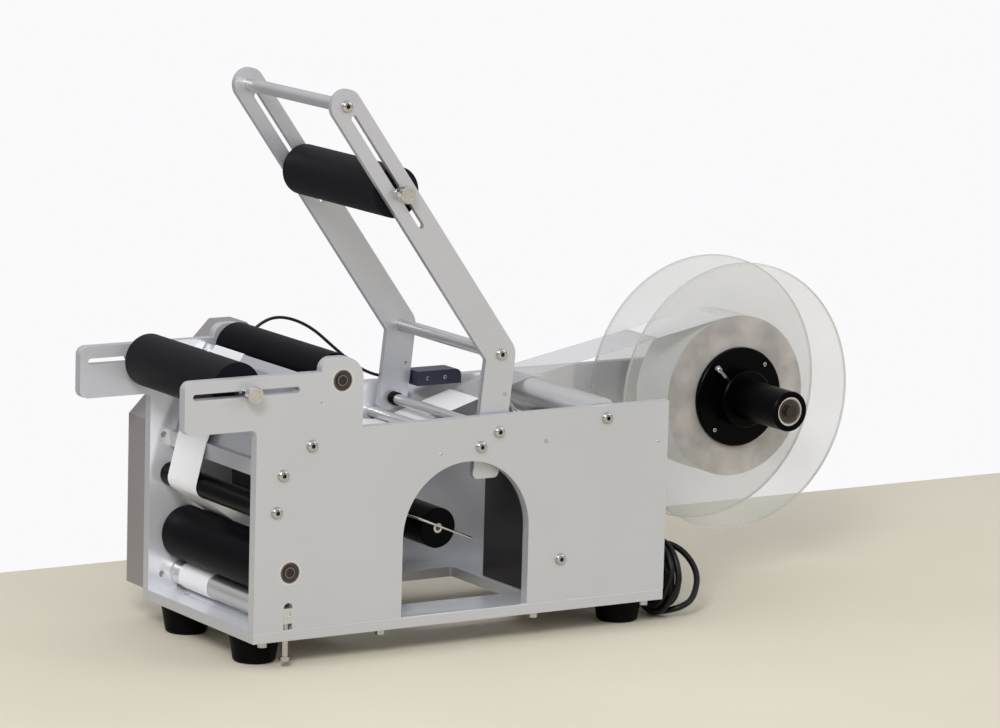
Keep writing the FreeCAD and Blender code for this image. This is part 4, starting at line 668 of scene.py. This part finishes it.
def knurled_knobs(name, body):
    """Thumb nuts with a knurled grip, a collar and a turned face."""
    shape = bmesh.new()
    parts = lone_parts(name)
    whole = (min(p[:, 1].min() for p in parts) + max(p[:, 1].max() for p in parts)) / 2
    for points in parts:
        low, high = points.min(0), points.max(0)
        x, z = (low[0] + high[0]) / 2, (low[2] + high[2]) / 2
        radius = (high[0] - low[0]) / 2
        front = (low[1] + high[1]) / 2 < whole
        inner = high[1] if front else low[1]
        length = high[1] - low[1]
        away = np.hypot(points[:, 0] - x, points[:, 2] - z)
        inner_ring = away[np.abs(points[:, 1] - inner) < END_REACH]
        collar = inner_ring.max()
        bore = inner_ring.min()
        placed = facing((x, inner, z), TO_FRONT if front else TO_BACK)
        profile = [
            (bore, 0.0, "round"), (collar - COLLAR_EDGE, 0.0, "round"), (collar, COLLAR_EDGE, "round"),
            (collar, length - GRIP_LENGTH, "round"), (radius - GRIP_EDGE, length - GRIP_LENGTH, "round"),
            (radius, length - GRIP_LENGTH + GRIP_EDGE, "knurl"), (radius, length - GRIP_END, "knurl"),
            (radius - GRIP_EDGE, length, "round"), (radius * 0.6, length, "round"),
            (radius * 0.55, length - FACE_DISH, "round"), (0, length - FACE_DISH, "round")]
        if bore < END_REACH:
            profile = profile[1:]
        lathe(shape, profile, placed, 96)
    piece = finish_mesh(name + "_grips", shape, "grip", body, 20.0)
    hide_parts(name)


# a small pin's end, and the small screws: head radius, height and share of the socket
PIN_PROFILE = [(0, 0.0004, "round"), (0.0007, 0.0003, "round"), (0.0012, 0.0001, "round"),
               (0.0013, -0.0005, "round"), (0, -0.0005, "round")]

HUB_SCREW = (0.0022, 0.0012, 0.45)
SENSOR_SCREW = (0.0019, 0.001, 0.45)
SENSOR_SCREW_SHARES = (0.22, 0.62)
SHAFT_END = (0.0046, 0.0001, 0.5)


def small_screw(shape, point, direction, head, tall, socket):
    """A short screw head that stands on a face."""
    lathe(shape, [
        (0, tall * 0.3, "socket"), (head * socket, tall * 0.3, "socket"), (head * socket, tall, "socket"),
        (head * 0.75, tall, "round"), (head * 0.95, tall * 0.75, "round"), (head, tall * 0.2, "round"),
        (head, 0.0, "round"), (0, 0.0, "round")], facing(point, direction), 24)


def add_small_screws():
    """Fixings too small for the solids: on the hub, the sensor, the rewind shaft and the front plate."""
    hub_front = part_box("reel_front_disc")[0].y - HUB_THICK
    shape = bmesh.new()
    for side in (1, -1):
        turn = math.radians(HUB_SCREW_TURN)
        reach = HUB_SCREW_REACH * side
        spot = (REEL.x + reach * math.cos(turn), hub_front, REEL.z + reach * math.sin(turn))
        small_screw(shape, spot, TO_FRONT, *HUB_SCREW)
    piece = finish_mesh("hub_screws", shape, "steel", "reel_front", 32.0, "socket")

    low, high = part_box("label_sensor")
    shape = bmesh.new()
    for share in SENSOR_SCREW_SHARES:
        spot = (low.x + (high.x - low.x) * share, low.y, (low.z + high.z) / 2)
        small_screw(shape, spot, TO_FRONT, *SENSOR_SCREW)
    piece = finish_mesh("sensor_screws", shape, "steel", "frame", 32.0, "socket")

    axis = middle("rewind_pulley")
    shape = bmesh.new()
    small_screw(shape, (axis.x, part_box("rewind_shaft")[0].y, axis.z), TO_FRONT, *SHAFT_END)
    piece = finish_mesh("rewind_end_screw", shape, "steel", "rewind", 32.0, "socket")

    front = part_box("front_side_plate")[0].y
    shape = bmesh.new()
    for x, z in FRONT_PINS:
        lathe(shape, PIN_PROFILE, facing((x, front, z), TO_FRONT), 16)
    piece = finish_mesh("front_plate_pins", shape, "steel", "frame", 60.0)


# ---------------------------------------------------------------- wires and cords

CORD_RADIUS = 0.003

# the strain relief's boot and its ribs
RELIEF_LENGTH = 0.025
RELIEF_FIRST = 0.0058
RELIEF_RIBS = 6
RIB_DEPTH = 0.0006

# the band round the hank: where it sits, in degrees, and its section
TIE_TURN = 25.0
TIE_HALF = 0.0045
TIE_THICK = 0.0008
TIE_EDGE = 0.0002

# the mains lead from the box to the hank
CORD_ROUTE = [
    (0.227, -0.0175, 0.062),
    (0.254, -0.0175, 0.062),
    (0.280, -0.0395, 0.060),
    (0.286, -0.0675, 0.039),
    (0.270, -0.0855, 0.018),
    (0.2530, -0.0905, 0.0115),
]

# the hank: its size, where it begins and how far each turn goes, in degrees, and each turn's place
HANK_CENTRE = Vector((0.238, -0.0655, 0.0385))
HANK_RADIUS = 0.029
HANK_SPACING = 0.00695
HANK_START = 245.0
HANK_STAY = 300.0
HANK_SHIFT = 40.0
HANK_LAST = 145.0
HANK_STEP = 20.0
HANK_SPOTS = [60, 120, 180, None, 240, 300, 0]

# the mains lead from the hank to the plug, and the sensor's lead
CORD_TAIL = [
    (0.2462, -0.0590, 0.0128),
    (0.2480, -0.0530, 0.0115),
    (0.2500, -0.0475, 0.0110),
]
CABLE_RADIUS = 0.0015
CABLE_ROUTE = [
    (0.053, 0.0931, 0.218),
    (0.042, 0.0931, 0.218),
    (0.020, 0.0931, 0.220),
    (-0.002, 0.0940, 0.230),
    (-0.024, 0.0985, 0.249),
    (-0.048, 0.1045, 0.271),
    (-0.074, 0.1115, 0.281),
    (-0.093, 0.1165, 0.276),
    (-0.102, 0.1185, 0.2664),
]


def add_strain_relief():
    """Hexagon nut and ribbed, tapering boot round the lead where it leaves the box."""
    low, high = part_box("cord_gland")
    nut = (high.y - low.y) / 2 * math.cos(TAU / 12)
    profile = [(0, 0.0, "round"), (nut, 0.0003, "hex"), (nut, 0.0042, "hex"), (nut * 0.9, 0.0048, "round")]
    widest = nut * 0.86
    pitch = (RELIEF_LENGTH - RELIEF_FIRST) / RELIEF_RIBS
    for i in range(RELIEF_RIBS):
        radius = widest + (CORD_RADIUS + 0.0007 - widest) * i / (RELIEF_RIBS - 1)
        start = RELIEF_FIRST + i * pitch
        profile += [
            (radius - RIB_DEPTH, start, "round"), (radius, start + pitch * 0.15, "round"),
            (radius - 0.0001, start + pitch * 0.65, "round"),
            (radius - RIB_DEPTH, start + pitch * 0.8, "round")]
    profile += [(CORD_RADIUS + 0.0001, RELIEF_LENGTH, "round"), (0, RELIEF_LENGTH, "round")]
    shape = bmesh.new()
    lathe(shape, profile, facing((low.x, (low.y + high.y) / 2, (low.z + high.z) / 2), (1, 0, 0)), 36)
    piece = finish_mesh("strain_relief", shape, "plastic", "frame", 30.0)
    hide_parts("cord_gland")


def add_cord_tie():
    """A band that holds the hank's turns together."""
    turn = math.radians(TIE_TURN)
    outward = Vector((0, math.cos(turn), math.sin(turn)))
    strand = Vector((0, -math.sin(turn), math.cos(turn)))
    flat = Vector((1, 0, 0)) * math.cos(TAU / 12) + outward * math.sin(TAU / 12)
    over = strand.cross(flat)
    spot = HANK_CENTRE + outward * HANK_RADIUS
    placed = Matrix((
        (flat.x, over.x, strand.x, spot.x),
        (flat.y, over.y, strand.y, spot.y),
        (flat.z, over.z, strand.z, spot.z),
        (0, 0, 0, 1)))
    inner = HANK_SPACING * math.cos(TAU / 12) + CORD_RADIUS + TIE_EDGE
    outer = inner + TIE_THICK
    shape = bmesh.new()
    rings = [(inner, -TIE_HALF, "band"), (outer, -TIE_HALF + TIE_EDGE, "band"),
             (outer, TIE_HALF - TIE_EDGE, "band"), (inner, TIE_HALF, "band"), (inner, -TIE_HALF, "band")]
    lathe(shape, rings, placed, 48)
    bmesh.ops.remove_doubles(shape, verts=shape.verts, dist=0.000001)
    piece = finish_mesh("cord_tie", shape, "belt", "frame", 40.0)


def curve_piece(name, points, radius, look):
    """A round cord on one smooth NURBS line."""
    curve = bpy.data.curves.new(name, "CURVE")
    curve.dimensions = "3D"
    spline = curve.splines.new("NURBS")
    spline.points.add(len(points) - 1)
    for spot, point in zip(spline.points, points):
        spot.co = (*point, 1)
    spline.order_u = 3
    spline.use_endpoint_u = True
    spline.resolution_u = 6
    curve.bevel_depth = radius
    curve.bevel_resolution = 5
    curve.use_fill_caps = True
    curve.materials.append(LOOKS[look])
    piece = bpy.data.objects.new(name, curve)
    bpy.context.scene.collection.objects.link(piece)
    return piece


def hank_turns():
    """Turns that lie a diameter apart; each passes to the next place beside it before it comes round."""
    def offset(spot):
        """A turn's place in the bundle: in the middle, or at an angle round it."""
        if spot is None:
            return Vector((0, 0))
        return Vector((math.cos(math.radians(spot)), math.sin(math.radians(spot)))) * HANK_SPACING

    points = []
    angle = HANK_START
    for i, spot in enumerate(HANK_SPOTS):
        stay = HANK_LAST if i == len(HANK_SPOTS) - 1 else HANK_STAY
        aside = offset(spot)
        for step in range(int(stay / HANK_STEP) + 1):
            turn = math.radians(angle + step * HANK_STEP)
            reach = HANK_RADIUS + aside.y
            points.append(HANK_CENTRE + Vector((aside.x, reach * math.cos(turn), reach * math.sin(turn))))
        angle += stay + HANK_SHIFT
    return [tuple(point) for point in points]


def add_cords():
    """The mains lead with its hank, and the sensor's lead."""
    cord = curve_piece("mains_lead", CORD_ROUTE + hank_turns() + CORD_TAIL, CORD_RADIUS, "sheath")
    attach(cord, "frame")
    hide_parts("power_cord", "cord_hank")
    cable = curve_piece("sensor_lead", CABLE_ROUTE, CABLE_RADIUS, "sheath")
    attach(cable, "frame")
    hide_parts("sensor_cable")


def tube(shape, points, radius, sides):
    """A round tube through points, with a frame carried along it."""
    spots = [Vector(p) for p in points]
    ahead = (spots[1] - spots[0]).normalized()
    side = ahead.orthogonal().normalized()
    rings = []
    for i, spot in enumerate(spots):
        back = spots[max(i - 1, 0)]
        front = spots[min(i + 1, len(spots) - 1)]
        ahead = (front - back).normalized()
        side = (side - ahead * side.dot(ahead)).normalized()
        over = ahead.cross(side)
        turns = [TAU * k / sides for k in range(sides)]
        rings.append([shape.verts.new(spot + (side * math.cos(turn) + over * math.sin(turn)) * radius)
                      for turn in turns])
    for near, far in zip(rings, rings[1:]):
        for k in range(sides):
            after = (k + 1) % sides
            shape.faces.new((near[k], near[after], far[after], far[k]))
    shape.faces.new(rings[0][::-1])
    shape.faces.new(rings[-1])


SPRING_RADIUS = 0.0028
SPRING_WIRE = 0.0006
SPRING_HOOK = 0.0055
SPRING_PITCH = 2.6
HOOK_STEPS = 14
HOOK_SHARE = 0.8
TURN_STEPS = 12


def add_lift_spring():
    """Extension spring hooked over its two pins."""
    anchor = middle("frame_spring_pin")
    pin = middle("arm_spring_pin")
    low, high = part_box("lift_spring")
    depth = (low.y + high.y) / 2
    start = Vector((anchor.x, depth, anchor.z))
    end = Vector((pin.x, depth, pin.z))
    run = end - start
    along = run.normalized()
    across = Vector((0, 1, 0))
    over = along.cross(across)
    length = run.length - 2 * SPRING_HOOK
    turns = int(length / (SPRING_PITCH * SPRING_WIRE))
    points = []
    for step in range(HOOK_STEPS + 1):
        turn = TAU * (0.15 + HOOK_SHARE * step / HOOK_STEPS)
        points.append(start + (along * -math.cos(turn) + over * -math.sin(turn)) * SPRING_RADIUS)
    body_start = start + along * SPRING_HOOK
    for step in range(turns * TURN_STEPS + 1):
        turn = TAU * step / TURN_STEPS
        points.append(body_start + along * (length * step / (turns * TURN_STEPS))
                      + (across * math.sin(turn) + over * math.cos(turn)) * SPRING_RADIUS)
    for step in range(HOOK_STEPS + 1):
        turn = TAU * (0.05 + HOOK_SHARE * step / HOOK_STEPS)
        points.append(end + (along * -math.cos(turn) + over * math.sin(turn)) * SPRING_RADIUS)
    shape = bmesh.new()
    tube(shape, points, SPRING_WIRE, 8)
    piece = finish_mesh("lift_spring_coil", shape, "steel", None)
    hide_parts("lift_spring")
    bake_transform(piece)


# ---------------------------------------------------------------- the whole scene

add_camera()
add_world()
for name, place, size, power in LAMPS:
    add_lamp(name, place, size, power)
add_floor()
dress_nodes()
paint_faces("label_roll", "wound", lambda face: abs(face.normal.y) > FACING_SHARE)
# the inner faces of the side plates and the top of the base plate get the lighter copy of the plate's look,
# which is painted light
for plate, side in (("front_side_plate", 1), ("rear_side_plate", -1)):
    paint_faces(plate, "inside", lambda face: face.normal.y * side > FACING_SHARE)
paint_faces("base_plate", "inside", lambda face: face.normal.z > FACING_SHARE)
paint_bearings("ball_bearings")
paint_bearings("reel_bearings")
for name, width in SOFT_EDGES.items():
    soften(name, width)
add_cords()
add_strain_relief()
add_cord_tie()
add_lift_spring()
add_small_screws()
screw_heads("button_screws", "frame")
screw_heads("arm_screws", "press_arm")
knurled_knobs("bottle_roller_knobs", "bottle_knobs")
knurled_knobs("press_roller_knobs", "press_knobs")

bpy.context.scene.view_settings.view_transform = "Standard"
